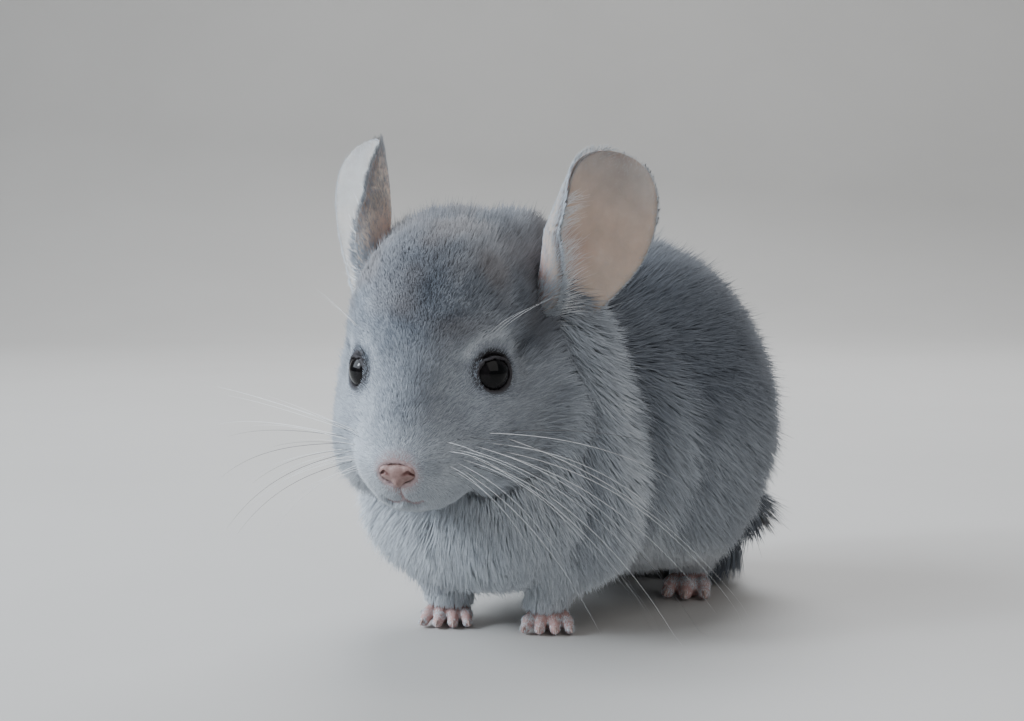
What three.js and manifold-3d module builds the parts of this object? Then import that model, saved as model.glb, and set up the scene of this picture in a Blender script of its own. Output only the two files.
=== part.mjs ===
// Young chinchilla standing on the floor, looking to its right, life size.
// Millimetres, +Z up. The animal faces -Y and its left side is +X.
// The origin is on the floor, under the middle of the bounding box.
import * as THREE from 'three';
import { mergeVertices } from 'three/addons/utils/BufferGeometryUtils.js';
import Module from 'manifold-3d';

const wasm = await Module();
wasm.setup();

// ---------------------------------------------------------------- driving dimensions
const SHIFT = [9.91, 11.73, 0];                // working frame to the part's own frame
const GAP = 0.35;                        // clearance between neighbouring pieces
const HEAD_AT = [-7.4, -64.2, 69.3];     // point between the eyes
const HEAD_YAW = 18.5;                   // the head is turned to the animal's right
const EYE_R = 5.4;
const EYES = { L: [16.6, -5, 0.8], R: [-12.9, -7.8, 0.8] };   // eye centres in the head frame
const EAR_TH = 1.3;                      // thickness of the ear with its short fur
const WRIST_Z = 7.0;                     // level of the cut between foreleg and paw
const NECK_Y = -5, NECK_Z = 50;          // back and lower faces of the neck piece

// rounded masses: name, centre, half sizes, turn in degrees, blend width
const TRUNK = [
  ['belly', [0, 13, 51], [41, 48, 44], [0, 0, 0], 0],
  ['back', [0, 15, 59], [34, 41, 42], [0, 0, 0], 14],
  ['rump', [-1, 26, 45], [36.5, 31.5, 34], [0, 0, 0], 12],
  ['chest', [-4, -28, 42], [30, 24, 33], [0, 0, 0], 16],
  ['bib', [-11, -44, 33], [33, 18, 23], [0, 0, 0], 12],
  ['haunch_L', [22, 13, 34], [16, 23, 21], [0, 0, 0], 9],
  ['haunch_R', [-24, 15, 32], [16, 25, 22], [0, 0, 0], 9],
  ['shoulder_L', [16, -27, 36], [14, 17, 24], [0, 0, 0], 9],
  ['shoulder_R', [-25, -35, 37], [15, 17, 24], [0, 0, 0], 9],
  ['ruff', [-5, -30, 66], [30, 19, 34], [0, 0, 0], 12],
];
const HEAD = [
  ['cranium', [0, 17, 8], [26, 30, 31.5], [0, 0, 0], 0],
  ['crown', [0, 30, 17], [28, 20, 22.5], [0, 0, 0], 12],
  ['crown_L', [13, 31, 20], [15, 15, 20], [0, 0, 0], 6],
  ['crown_R', [-11, 29, 18], [14, 14, 19], [0, 0, 0], 6],
  ['forehead', [0, 3, 13], [19, 17, 21], [0, 0, 0], 10],
  ['bridge', [0, -9, -4], [10, 11, 17], [-35, 0, 0], 10],
  ['muzzle', [0, -13, -18], [12, 13, 12], [0, 0, 0], 8],
  ['pad_L', [6, -15, -19.5], [7.5, 8.5, 7.5], [0, 0, 0], 5],
  ['pad_R', [-6, -15, -19.5], [7.5, 8.5, 7.5], [0, 0, 0], 5],
  ['cheek_L', [13, 6, -14], [14, 18, 17], [0, 0, 0], 10],
  ['cheek_R', [-13, 6, -14], [14, 18, 17], [0, 0, 0], 10],
  ['jowl_L', [22, 21, -9], [15, 16, 21], [0, 0, 0], 8],
  ['jowl_R', [-18, 18, -8], [12, 16, 20], [0, 0, 0], 8],
  ['chin', [0, -8, -27], [10, 12, 6.5], [0, 0, 0], 7],
];
// legs: x, y, z, radius down each limb
const LEGS = {
  fl: [[14, -28, 34, 12], [9.5, -32, 20, 8.8], [8, -34, 9, 6.2]],
  fr: [[-21, -36, 34, 12], [-19, -41, 20, 8.8], [-18, -42.6, 9, 6.2]],
  hl: [[20, 20, 24, 12], [16, 27, 11, 7]],
  hr: [[-22, 22, 24, 12], [-21, 27, 11, 7]],
};
// feet: place of the palm on the floor, direction, toes, spread, toe length, palm half sizes, toe radius
const PAWS = {
  fl: { at: [7.8, -33.7, 0], yaw: 33, n: 4, spread: 15, L: 6.4, palm: [6.2, 5.8, 4.6], r: 1.75 },
  fr: { at: [-18.3, -42.4, 0], yaw: 31, n: 4, spread: 15, L: 6.4, palm: [6.2, 5.8, 4.6], r: 1.75 },
  hl: { at: [15.4, 27.6, 0], yaw: 25, n: 3, spread: 10, L: 8, palm: [5.6, 13, 5], r: 2.2 },
  hr: { at: [-22, 26, 0], yaw: -6, n: 3, spread: 10, L: 8, palm: [5.6, 13, 5], r: 2.2 },
};
// tail from its root down to the floor and round behind the animal: x, y, z, radius
const TAIL = [
  [0, 50, 38, 8], [12, 52, 33, 8.5], [20, 47.5, 24, 8.5], [15, 45, 13, 8.8],
  [8, 52, 9.4, 9.2], [-3, 56, 9.2, 9.4], [-16, 50.5, 8.8, 8.8], [-27, 40, 8, 8],
];

// ---------------------------------------------------------------- vector helpers
const rad = (d) => d * Math.PI / 180;
function turn(deg) {                     // rotation matrix Z*Y*X, rows
  const [a, b, c] = deg.map(rad);
  const m = new THREE.Matrix4().makeRotationZ(c)
    .multiply(new THREE.Matrix4().makeRotationY(b))
    .multiply(new THREE.Matrix4().makeRotationX(a)).elements;
  return [[m[0], m[4], m[8]], [m[1], m[5], m[9]], [m[2], m[6], m[10]]];
}
const apply = (M, v) => M.map((r) => r[0] * v[0] + r[1] * v[1] + r[2] * v[2]);
const applyT = (M, v) => [0, 1, 2].map((k) => M[0][k] * v[0] + M[1][k] * v[1] + M[2][k] * v[2]);
const add = (a, b) => [a[0] + b[0], a[1] + b[1], a[2] + b[2]];
const sub = (a, b) => [a[0] - b[0], a[1] - b[1], a[2] - b[2]];
const YAW = turn([0, 0, HEAD_YAW]);
const headToRow = (q) => add(apply(YAW, q), HEAD_AT);
const rowToHead = (p) => applyT(YAW, sub(p, HEAD_AT));

// ---------------------------------------------------------------- distance fields
const smin = (a, b, k) => {
  if (k <= 0) return Math.min(a, b);
  const h = Math.max(k - Math.abs(a - b), 0) / k;
  return Math.min(a, b) - h * h * k / 4;
};
const smax = (a, b, k) => -smin(-a, -b, k);
const turns = new Map();
function ellipsoid(p, c, r, deg) {
  let q = sub(p, c);
  if (deg[0] || deg[1] || deg[2]) {
    const key = deg.join();
    if (!turns.has(key)) turns.set(key, turn(deg));
    q = applyT(turns.get(key), q);
  }
  const k0 = Math.hypot(q[0] / r[0], q[1] / r[1], q[2] / r[2]);
  const k1 = Math.hypot(q[0] / r[0] ** 2, q[1] / r[1] ** 2, q[2] / r[2] ** 2);
  return k0 * (k0 - 1) / Math.max(k1, 1e-9);
}
function group(p, table) {
  let d = 1e9;
  for (const [, c, r, deg, k] of table) d = smin(d, ellipsoid(p, c, r, deg), k);
  return d;
}
function limb(p, a, b) {                 // tapered rod between two balls
  const ab = sub(b, a), ap = sub(p, a);
  const t = Math.min(1, Math.max(0, (ap[0] * ab[0] + ap[1] * ab[1] + ap[2] * ab[2])
    / (ab[0] ** 2 + ab[1] ** 2 + ab[2] ** 2)));
  return Math.hypot(ap[0] - ab[0] * t, ap[1] - ab[1] * t, ap[2] - ab[2] * t) - (a[3] + (b[3] - a[3]) * t);
}
function chain(p, pts, k) {
  let d = 1e9;
  for (let i = 0; i + 1 < pts.length; i++) d = smin(d, limb(p, pts[i], pts[i + 1]), k);
  return d;
}
function toes(s) {                       // each toe's three points in the foot's frame
  const out = [];
  for (let i = 0; i < s.n; i++) {
    const t = (i - (s.n - 1) / 2) / ((s.n - 1) / 2);
    const dx = Math.sin(rad(s.spread * t)), dy = -Math.cos(rad(s.spread * t));
    const l = s.L * (1 - 0.16 * t * t), y0 = -s.palm[1] * 0.3;
    out.push({
      dir: [dx, dy],
      pts: [[t * s.palm[0] * 0.62, y0, s.palm[2] * 0.95, s.r * 1.05],
        [t * s.palm[0] * 0.7 + dx * l * 0.45, y0 + dy * l * 0.45, s.r * 1.75, s.r * 1.1],
        [t * s.palm[0] * 0.7 + dx * l, y0 + dy * l, s.r * 0.95, s.r]],
    });
  }
  return out;
}
const TOES = Object.fromEntries(Object.entries(PAWS).map(([k, s]) => [k, toes(s)]));
function paw(p, key) {
  const s = PAWS[key], a = rad(s.yaw), c = Math.cos(a), n = Math.sin(a);
  const d = sub(p, s.at), q = [d[0] * c + d[1] * n, -d[0] * n + d[1] * c, d[2]];
  let f = ellipsoid(q, [0, 1.5, s.palm[2] * 0.62], s.palm, [0, 0, 0]);
  for (const t of TOES[key]) f = smin(f, chain(q, t.pts, 1), 1.2);
  return smax(f, -q[2] - 0.7, 0.3);
}
const headField = (p) => group(rowToHead(p), HEAD);
const tailField = (p) => chain(p, TAIL, 5);
function trunkField(p) {
  let d = group(p, TRUNK);
  for (const k of ['fl', 'fr', 'hl', 'hr']) d = smin(d, chain(p, LEGS[k], 4), 6);
  return d;
}

// ---------------------------------------------------------------- surface of a field
// Closed quad net round the region where the field is negative, inside a box.
function net(field, lo, hi, step) {
  for (let k = 0; k < 12; k++) {         // the grid moves a little if four faces meet on one edge
    const m = netOnce(field, lo.map((x, a) => x - k * step * [0.13, 0.07, 0.1][a]), hi, step);
    const seen = new Set();
    let twice = false;
    for (let t = 0; t < m.tri.length; t++) {
      const key = `${m.tri[t]},${m.tri[t % 3 === 2 ? t - 2 : t + 1]}`;
      if (seen.has(key)) { twice = true; break; }
      seen.add(key);
    }
    if (!twice) return m;
  }
  throw new Error('no clean grid');
}
function netOnce(field, lo, hi, step) {
  const n = [0, 1, 2].map((k) => Math.ceil((hi[k] - lo[k]) / step) + 1);
  const at = (k, i) => lo[k] + i * step;
  const id = (i, j, k) => (i * n[1] + j) * n[2] + k;
  const v = new Float64Array(n[0] * n[1] * n[2]);
  const p = [0, 0, 0];
  for (let i = 0; i < n[0]; i++) for (let j = 0; j < n[1]; j++) for (let k = 0; k < n[2]; k++) {
    p[0] = at(0, i); p[1] = at(1, j); p[2] = at(2, k);
    const edge = i === 0 || j === 0 || k === 0 || i === n[0] - 1 || j === n[1] - 1 || k === n[2] - 1;
    const f = field(p);
    v[id(i, j, k)] = edge ? Math.max(f, step * 0.5) : f;
  }
  const vert = new Map(), pos = [], fixed = [], tri = [];
  const corner = (i, j, k) => {
    const key = id(i, j, k);
    if (vert.has(key)) return vert.get(key);
    let c = 0; const s = [0, 0, 0];
    for (let a = 0; a < 3; a++) {
      const b = (a + 1) % 3, d = (a + 2) % 3;
      for (let m = 0; m < 4; m++) {
        const o = [i, j, k], e = [i, j, k];
        o[b] += m & 1; o[d] += m >> 1; e[b] += m & 1; e[d] += m >> 1; e[a] += 1;
        const f0 = v[id(...o)], f1 = v[id(...e)];
        if ((f0 < 0) === (f1 < 0)) continue;
        const t = f0 / (f0 - f1);
        for (let q = 0; q < 3; q++) s[q] += at(q, o[q]) + (q === a ? t * step : 0);
        c++;
      }
    }
    let q = s.map((x) => x / c);
    const onEdge = i === 0 || j === 0 || k === 0 || i === n[0] - 2 || j === n[1] - 2 || k === n[2] - 2;
    if (!onEdge) for (let r = 0; r < 3; r++) {
      const h = 0.05, f = field(q);
      const g = [0, 1, 2].map((a) => {
        const x = [...q], y = [...q]; x[a] += h; y[a] -= h; return (field(x) - field(y)) / (2 * h);
      });
      const g2 = Math.max(g[0] ** 2 + g[1] ** 2 + g[2] ** 2, 0.05);
      const m = q.map((x, a) => x - f * g[a] / g2);
      const d = Math.hypot(...sub(m, q));
      q = d > step * 0.35 ? q.map((x, a) => x + (m[a] - x) * step * 0.35 / d) : m;
    }
    const r = pos.length / 3; pos.push(...q); vert.set(key, r); return r;
  };
  for (let i = 0; i < n[0]; i++) for (let j = 0; j < n[1]; j++) for (let k = 0; k < n[2]; k++) {
    for (let a = 0; a < 3; a++) {
      const b = (a + 1) % 3, d = (a + 2) % 3, o = [i, j, k], e = [i, j, k]; e[a] += 1;
      if (e[a] > n[a] - 1 || o[b] < 1 || o[d] < 1 || o[b] > n[b] - 2 || o[d] > n[d] - 2) continue;
      const f0 = v[id(i, j, k)], f1 = v[id(...e)];
      if ((f0 < 0) === (f1 < 0)) continue;
      const c = [[-1, -1], [0, -1], [0, 0], [-1, 0]].map(([x, y]) => {
        const o = [i, j, k]; o[b] += x; o[d] += y; return corner(...o);
      });
      if (f0 >= 0) c.reverse();
      // the shorter diagonal gives the better shaped pair
      const P = c.map((q) => pos.slice(q * 3, q * 3 + 3));
      const d02 = Math.hypot(...sub(P[0], P[2])), d13 = Math.hypot(...sub(P[1], P[3]));
      if (d02 <= d13) tri.push(c[0], c[1], c[2], c[0], c[2], c[3]);
      else tri.push(c[1], c[2], c[3], c[1], c[3], c[0]);
    }
  }
  return { pos, tri };
}
// every vertex moved out along its normal
function grow({ pos, tri }, d) {
  const nor = new Float64Array(pos.length);
  for (let t = 0; t < tri.length; t += 3) {
    const [a, b, c] = [0, 1, 2].map((k) => pos.slice(tri[t + k] * 3, tri[t + k] * 3 + 3));
    const u = sub(b, a), w = sub(c, a);
    const n = [u[1] * w[2] - u[2] * w[1], u[2] * w[0] - u[0] * w[2], u[0] * w[1] - u[1] * w[0]];
    for (let k = 0; k < 3; k++) for (let q = 0; q < 3; q++) nor[tri[t + k] * 3 + q] += n[q];
  }
  const out = pos.slice();
  for (let i = 0; i < out.length; i += 3) {
    const l = Math.hypot(nor[i], nor[i + 1], nor[i + 2]) || 1;
    for (let q = 0; q < 3; q++) out[i + q] += nor[i + q] / l * d;
  }
  return { pos: out, tri };
}
const solid = ({ pos, tri }) => new wasm.Manifold(new wasm.Mesh({
  numProp: 3, vertProperties: new Float32Array(pos), triVerts: new Uint32Array(tri),
}));
function fromGeometry(geo) {
  const g = geo.clone();
  for (const a of ['normal', 'uv']) g.deleteAttribute(a);
  const m = mergeVertices(g, 1e-4);
  return { pos: Array.from(m.attributes.position.array), tri: Array.from(m.index.array) };
}
function block(lo, hi) {
  const g = new THREE.BoxGeometry(hi[0] - lo[0], hi[1] - lo[1], hi[2] - lo[2]);
  g.translate((lo[0] + hi[0]) / 2, (lo[1] + hi[1]) / 2, (lo[2] + hi[2]) / 2);
  return solid(fromGeometry(g));
}
// ellipsoid given in the head frame or the part's frame
function ball(c, r, detail, basis = null) {
  const g = new THREE.IcosahedronGeometry(1, detail), m = fromGeometry(g), out = [];
  for (let i = 0; i < m.pos.length; i += 3) {
    let q = [m.pos[i] * r[0], m.pos[i + 1] * r[1], m.pos[i + 2] * r[2]];
    if (basis) q = apply(basis, q);
    out.push(...add(q, c));
  }
  return { pos: out, tri: m.tri };
}

// ---------------------------------------------------------------- ears
// height, greatest width, where it is reached, width at the base, roundness of the tip,
// how far the leaf wraps round at base, middle and tip, backward bend, lean,
// tighter curl towards the front edge, twist from base to tip
const EAR = {
  H: 48.58, Wm: 39.05, sm: 0.5, W0: 24.47, p: 1.81,
  A: [224.69, 121.53, 104.18], bend: -3.98, lean: 7.1, c: 1.62, tw: 19.67,
};
// root in the head frame, direction of the opening, tilt back and outwards
const EARS = {
  L: { at: [22.76, 20.12, 11.22], az: 42.91, back: 12.21, out: 14.35, side: 1 },
  R: { at: [20.42, 20.26, 17.41], az: 43.14, back: 24.97, out: 2.52, side: -1, H: 47.74, Wm: 37.77,
    A: [224.69, 105.7, 90.6], bend: -4.91, lean: 11.51, c: 1.79, tw: 18.25 },
};
// curled leaf: rows up the ear, columns across it, front edge first
function earSheet(o, rows, cols) {
  const E = { ...EAR, ...o }, M = 33, out = [];
  const basis = (() => {
    const a = rad(o.az), R = turn([0, o.out, 0]), Q = turn([-o.back, 0, 0]);
    const f = (v) => apply(R, apply(Q, v));
    return [f([Math.sin(a), -Math.cos(a), 0]), f([Math.cos(a), Math.sin(a), 0]), f([0, 0, 1])];
  })();
  for (let i = 0; i < rows; i++) {
    const s = i === rows - 1 ? 1 : (i / (rows - 1)) ** 0.9;
    const k = Math.min(1, s / E.sm), wf = E.W0 + (E.Wm - E.W0) * k * k * (3 - 2 * k);
    const q = Math.max(0, (s - E.sm) / (1 - E.sm)), w = wf * Math.sqrt(Math.max(0, 1 - q ** E.p));
    const A = rad(s < 0.45 ? E.A[0] + (E.A[1] - E.A[0]) * s / 0.45 : E.A[1] + (E.A[2] - E.A[1]) * (s - 0.45) / 0.55);
    const cu = [0], cn = [0], ds = w / (M - 1);
    const th = (t) => { const x = t * w / wf; return A / 2 * (x - E.c * x * x / 2); };
    for (let m = 1; m < M; m++) {
      const t0 = th(-1 + 2 * (m - 1) / (M - 1)), t1 = th(-1 + 2 * m / (M - 1));
      cu.push(cu[m - 1] + (Math.cos(t0) + Math.cos(t1)) / 2 * ds);
      cn.push(cn[m - 1] + (Math.sin(t0) + Math.sin(t1)) / 2 * ds);
    }
    const mid = (M - 1) / 2, a2 = rad(E.tw * (s - 0.5)), row = [];
    for (let j = 0; j < cols; j++) {
      const x = j / (cols - 1) * (M - 1), i0 = Math.min(M - 2, Math.floor(x)), f = x - i0;
      const u0 = cu[i0] * (1 - f) + cu[i0 + 1] * f - cu[mid], n0 = cn[i0] * (1 - f) + cn[i0 + 1] * f - cn[mid];
      const u = u0 * Math.cos(a2) - n0 * Math.sin(a2) + E.lean * s * s;
      const n = u0 * Math.sin(a2) + n0 * Math.cos(a2) - E.bend * s * s;
      const P = [0, 1, 2].map((c) => o.at[c] + n * basis[0][c] + u * basis[1][c] + E.H * s * basis[2][c]);
      P[0] *= o.side;
      row.push(headToRow(P));
    }
    out.push(row);
  }
  return out;
}
function earShell(o, rows, cols, th) {
  const S = earSheet(o, rows, cols), pos = [], tri = [], id = {};
  const nrm = S.map((r, i) => r.map((_, j) => {
    const a = S[Math.min(i + 1, rows - 2)][j], b = S[Math.max(i - 1, 0)][j];
    const ii = Math.min(i, rows - 2), c = S[ii][Math.min(j + 1, cols - 1)], d = S[ii][Math.max(j - 1, 0)];
    const u = sub(c, d), w = sub(a, b);
    const n = [u[1] * w[2] - u[2] * w[1], u[2] * w[0] - u[0] * w[2], u[0] * w[1] - u[1] * w[0]];
    const l = Math.hypot(...n) || 1; return n.map((x) => x / l);
  }));
  for (const f of [0, 1]) for (let i = 0; i < rows; i++) for (let j = 0; j < cols; j++) {
    if (i === rows - 1 && j > 0) { id[`${f},${i},${j}`] = id[`${f},${i},0`]; continue; }
    const n = nrm[i][i === rows - 1 ? (cols - 1) / 2 : j], h = (f ? 1 : -1) * th / 2;
    id[`${f},${i},${j}`] = pos.length / 3;
    pos.push(...S[i][j].map((x, k) => x + n[k] * h));
  }
  const V = (f, i, j) => id[`${f},${i},${j}`];
  const face = (a, b, c) => { if (a !== b && b !== c && a !== c) tri.push(a, b, c); };
  for (let i = 0; i < rows - 1; i++) for (let j = 0; j < cols - 1; j++) {
    face(V(1, i, j), V(1, i, j + 1), V(1, i + 1, j + 1)); face(V(1, i, j), V(1, i + 1, j + 1), V(1, i + 1, j));
    face(V(0, i, j), V(0, i + 1, j + 1), V(0, i, j + 1)); face(V(0, i, j), V(0, i + 1, j), V(0, i + 1, j + 1));
  }
  for (let i = 0; i < rows - 1; i++) {
    face(V(0, i, 0), V(1, i, 0), V(1, i + 1, 0)); face(V(0, i, 0), V(1, i + 1, 0), V(0, i + 1, 0));
    const c = cols - 1;
    face(V(0, i, c), V(1, i + 1, c), V(1, i, c)); face(V(0, i, c), V(0, i + 1, c), V(1, i + 1, c));
  }
  for (let j = 0; j < cols - 1; j++) {
    face(V(0, 0, j), V(1, 0, j + 1), V(1, 0, j)); face(V(0, 0, j), V(0, 0, j + 1), V(1, 0, j + 1));
  }
  return { pos, tri };
}

// ---------------------------------------------------------------- pieces
const head0 = net(headField, [-56, -102, 24], [44, -4, 124], 5.7);
const tail0 = net(tailField, [-44, 25, -8], [36, 74, 52], 5.2);
const headGrown = solid(grow(head0, GAP)), tailGrown = solid(grow(tail0, GAP));
const trunk0 = net(trunkField, [-57, -77, -5], [54, 70, 112], 9);
const trunkSolid = solid(trunk0), trunkGrown = solid(grow(trunk0, GAP));
const floorBelow = block([-90, -120, -40], [90, 120, 0]);

// cutters that take the haunches and forelegs out of the trunk
const CUT = {
  hl: { c: [27, 17, 22], r: [22, 25, 27] }, hr: { c: [-29, 19, 22], r: [22, 26, 27] },
  fl: { c: [12, -31, 17], r: [14, 12.5, 21] }, fr: { c: [-22, -39.5, 17], r: [14, 12.5, 21] },
};
const cutters = Object.fromEntries(Object.entries(CUT).map(([k, s]) => {
  const m = ball(s.c, s.r, 2);
  return [k, { tight: solid(m), loose: solid(grow(m, GAP)) }];
}));
const box = (lo, hi, g) => block(lo.map((x) => x - g), hi.map((x) => x + g));
const neckBox = (g) => box([-80, -110, NECK_Z], [80, NECK_Y, 150], g);

const pieces = {};
const feet = {};
for (const k of ['hl', 'hr']) {
  const s = PAWS[k];
  feet[k] = net((p) => paw(p, k), [s.at[0] - 18.8, s.at[1] - 22.6, -2], [s.at[0] + 16, s.at[1] + 20, 12], 2.6);
}
for (const k of ['fl', 'fr']) {
  const s = PAWS[k];
  feet[k] = net((p) => smin(paw(p, k), chain(p, LEGS[k], 4), 1.5),
    [s.at[0] - 12, s.at[1] - 16, -1.6], [s.at[0] + 14, s.at[1] + 12, 11.5], 1.75);
}
pieces.head = solid(head0);
pieces.trunk = trunkSolid.subtract(headGrown).subtract(tailGrown).subtract(neckBox(GAP));
for (const k of ['hl', 'hr', 'fl', 'fr']) pieces.trunk = pieces.trunk.subtract(cutters[k].loose);
for (const k of ['hl', 'hr', 'fl', 'fr']) pieces.trunk = pieces.trunk.subtract(solid(grow(feet[k], GAP)));
pieces.neck = trunkSolid.intersect(neckBox(0)).subtract(headGrown);
pieces.tail = solid(tail0).subtract(floorBelow);

const NAMES = { hl: 'hindleg_L', hr: 'hindleg_R', fl: 'foreleg_L', fr: 'foreleg_R' };
const FEET = { hl: 'hindfoot_L', hr: 'hindfoot_R', fl: 'forepaw_L', fr: 'forepaw_R' };
for (const k of ['hl', 'hr']) {
  pieces[NAMES[k]] = trunkSolid.intersect(cutters[k].tight).subtract(solid(grow(feet[k], GAP))).subtract(tailGrown);
  pieces[FEET[k]] = solid(feet[k]).subtract(tailGrown).subtract(floorBelow);
}
for (const k of ['fl', 'fr']) {
  const c = CUT[k];
  const m = solid(net(trunkField, [c.c[0] - 17, c.c[1] - 16, 3], [c.c[0] + 17, c.c[1] + 16, 42], 5));
  pieces[NAMES[k]] = m.intersect(cutters[k].tight).subtract(headGrown)
    .subtract(block([-90, -120, -40], [90, 120, WRIST_Z + GAP]));
  pieces[FEET[k]] = solid(feet[k]).subtract(block([-90, -120, WRIST_Z], [90, 120, 60])).subtract(floorBelow);
}

// eyes in their sockets, nose leather in its own hollow
for (const [n, at] of Object.entries(EYES)) {
  const c = headToRow(at);
  pieces[`eye_${n}`] = solid(ball(c, [EYE_R, EYE_R, EYE_R], 2));
  pieces.head = pieces.head.subtract(solid(ball(c, [1, 1, 1].map(() => EYE_R + GAP), 2)));
}
const NOSE_AT = [0, -23.6, -21.8], NOSE_R = [4.8, 3.0, 3.3];
pieces.nose = solid(ball(headToRow(NOSE_AT), NOSE_R, 1, YAW));
pieces.head = pieces.head.subtract(solid(ball(headToRow(NOSE_AT), NOSE_R.map((x) => x + GAP), 1, YAW)));

for (const [n, o] of Object.entries(EARS)) {
  pieces[`ear_${n}`] = solid(earShell(o, 12, 9, EAR_TH)).subtract(headGrown).subtract(trunkGrown);
}

// claws: one small blunt cone in front of each toe
const claws = {};
for (const k of ['fl', 'fr', 'hl', 'hr']) {
  const s = PAWS[k], M = turn([0, 0, s.yaw]), cover = solid(grow(feet[k], 0.3));
  TOES[k].forEach((t, i) => {
    const r = s.r * 0.42, len = s.r * 1.9, g = new THREE.CylinderGeometry(r * 0.3, r, len, 6, 1);
    g.rotateX(rad(180));                             // points along -Y, then turned to its toe
    const m = fromGeometry(g), out = [];
    const tip = t.pts[2], a = Math.atan2(t.dir[0], -t.dir[1]);
    const R = turn([0, 0, a * 180 / Math.PI]), D = turn([12, 0, 0]);
    for (let j = 0; j < m.pos.length; j += 3) {
      let q = apply(D, m.pos.slice(j, j + 3));
      q = apply(R, add(q, [0, -s.r - len * 0.18, 0]));
      q = add(q, [tip[0], tip[1], tip[2] + 0.25]);
      out.push(...add(apply(M, q), s.at));
    }
    claws[`claw_${k}${i + 1}`] = solid({ pos: out, tri: m.tri }).subtract(cover).subtract(floorBelow);
  });
}
Object.assign(pieces, claws);

// ---------------------------------------------------------------- colours
const LOOK = {
  trunk: [0.36, 0.39, 0.44], neck: [0.4, 0.43, 0.48], head: [0.42, 0.45, 0.5], tail: [0.24, 0.26, 0.3],
  ear: [0.6, 0.52, 0.47], eye: [0.015, 0.015, 0.02], nose: [0.62, 0.42, 0.38],
  foreleg: [0.68, 0.7, 0.72], forepaw: [0.66, 0.58, 0.56], hindleg: [0.42, 0.45, 0.5], hindfoot: [0.62, 0.5, 0.48],
  claw: [0.45, 0.38, 0.36],
};
const part = new THREE.Group();
part.name = 'chinchilla';
for (const [name, m] of Object.entries(pieces)) {
  if (m.isEmpty()) throw new Error(`${name} is empty`);
  const mesh = m.getMesh(), geo = new THREE.BufferGeometry();
  const src = mesh.vertProperties, np = mesh.numProp, v = new Float32Array(src.length / np * 3);
  for (let i = 0, j = 0; i < src.length; i += np, j += 3) {
    v[j] = src[i] + SHIFT[0]; v[j + 1] = src[i + 1] + SHIFT[1]; v[j + 2] = src[i + 2] + SHIFT[2];
  }
  geo.setAttribute('position', new THREE.BufferAttribute(v, 3));
  geo.setIndex(new THREE.BufferAttribute(new Uint32Array(mesh.triVerts), 1));
  const base = name.split('_')[0], look = LOOK[base];
  const mat = new THREE.MeshStandardMaterial({
    color: new THREE.Color(...look), roughness: base === 'eye' ? 0.08 : base === 'nose' ? 0.5 : 0.95, metalness: 0,
  });
  const node = new THREE.Mesh(geo, mat);
  node.name = name;
  part.add(node);
}

export default part;
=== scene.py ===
import math
import bpy
import numpy as np
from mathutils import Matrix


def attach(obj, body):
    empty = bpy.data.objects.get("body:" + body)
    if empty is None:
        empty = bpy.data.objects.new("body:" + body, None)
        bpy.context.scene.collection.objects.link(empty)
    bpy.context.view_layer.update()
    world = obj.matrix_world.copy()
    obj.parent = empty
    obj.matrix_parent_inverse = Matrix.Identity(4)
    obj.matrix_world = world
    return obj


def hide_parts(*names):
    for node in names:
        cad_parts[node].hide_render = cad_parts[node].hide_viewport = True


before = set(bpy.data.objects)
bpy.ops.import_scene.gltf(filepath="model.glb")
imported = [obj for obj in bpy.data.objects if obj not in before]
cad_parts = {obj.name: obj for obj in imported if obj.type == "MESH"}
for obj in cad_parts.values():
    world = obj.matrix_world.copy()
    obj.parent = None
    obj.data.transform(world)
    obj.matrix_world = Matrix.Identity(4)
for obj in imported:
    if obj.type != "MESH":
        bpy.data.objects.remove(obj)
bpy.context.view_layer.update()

F = np.float32
RNG = np.random.default_rng(20260)

# ------------------------------------------------------------------ shape of the animal
# Working frame in millimetres: -Y is forward, +X the animal's left, floor at z = 0.
SHIFT = np.array([9.91, 11.73, 0.0])
HEAD_AT = np.array([-7.4, -64.2, 69.3])
HEAD_YAW = math.radians(18.5)
EYE_R = 5.4
EYE_C = {1: np.array([16.6, -5.0, 0.8]), -1: np.array([-12.9, -7.8, 0.8])}
NOSE_AT = np.array([0.0, -23.6, -21.8])

TRUNK = [
    ((0, 13, 51), (41, 48, 44), 0), ((0, 15, 59), (34, 41, 42), 14),
    ((-1, 26, 45), (36.5, 31.5, 34), 12), ((-4, -28, 42), (30, 24, 33), 16),
    ((-11, -44, 33), (33, 18, 23), 12), ((22, 13, 34), (16, 23, 21), 9),
    ((-24, 15, 32), (16, 25, 22), 9), ((16, -27, 36), (14, 17, 24), 9),
    ((-25, -35, 37), (15, 17, 24), 9), ((-5, -30, 66), (30, 19, 34), 12),
]
HEAD = [
    ((0, 17, 8), (26, 30, 31.5), 0), ((0, 30, 17), (28, 20, 22.5), 12),
    ((13, 31, 20), (15, 15, 20), 6), ((-11, 29, 18), (14, 14, 19), 6),
    ((0, 3, 13), (19, 17, 21), 10), ((0, -9, -4), (10, 11, 17), 10, -35),
    ((0, -13, -18), (12, 13, 12), 8), ((6, -15, -19.5), (7.5, 8.5, 7.5), 5),
    ((-6, -15, -19.5), (7.5, 8.5, 7.5), 5), ((13, 6, -14), (14, 18, 17), 10),
    ((-13, 6, -14), (14, 18, 17), 10), ((22, 21, -9), (15, 16, 21), 8),
    ((-18, 18, -8), (12, 16, 20), 8), ((0, -8, -27), (10, 12, 6.5), 7),
]
LEGS = {
    "fl": [(14, -28, 34, 12), (9.5, -32, 20, 8.8), (8, -34, 9, 6.2)],
    "fr": [(-21, -36, 34, 12), (-19, -41, 20, 8.8), (-18, -42.6, 9, 6.2)],
    "hl": [(20, 20, 24, 12), (16, 27, 11, 7)],
    "hr": [(-22, 22, 24, 12), (-21, 27, 11, 7)],
}
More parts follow.
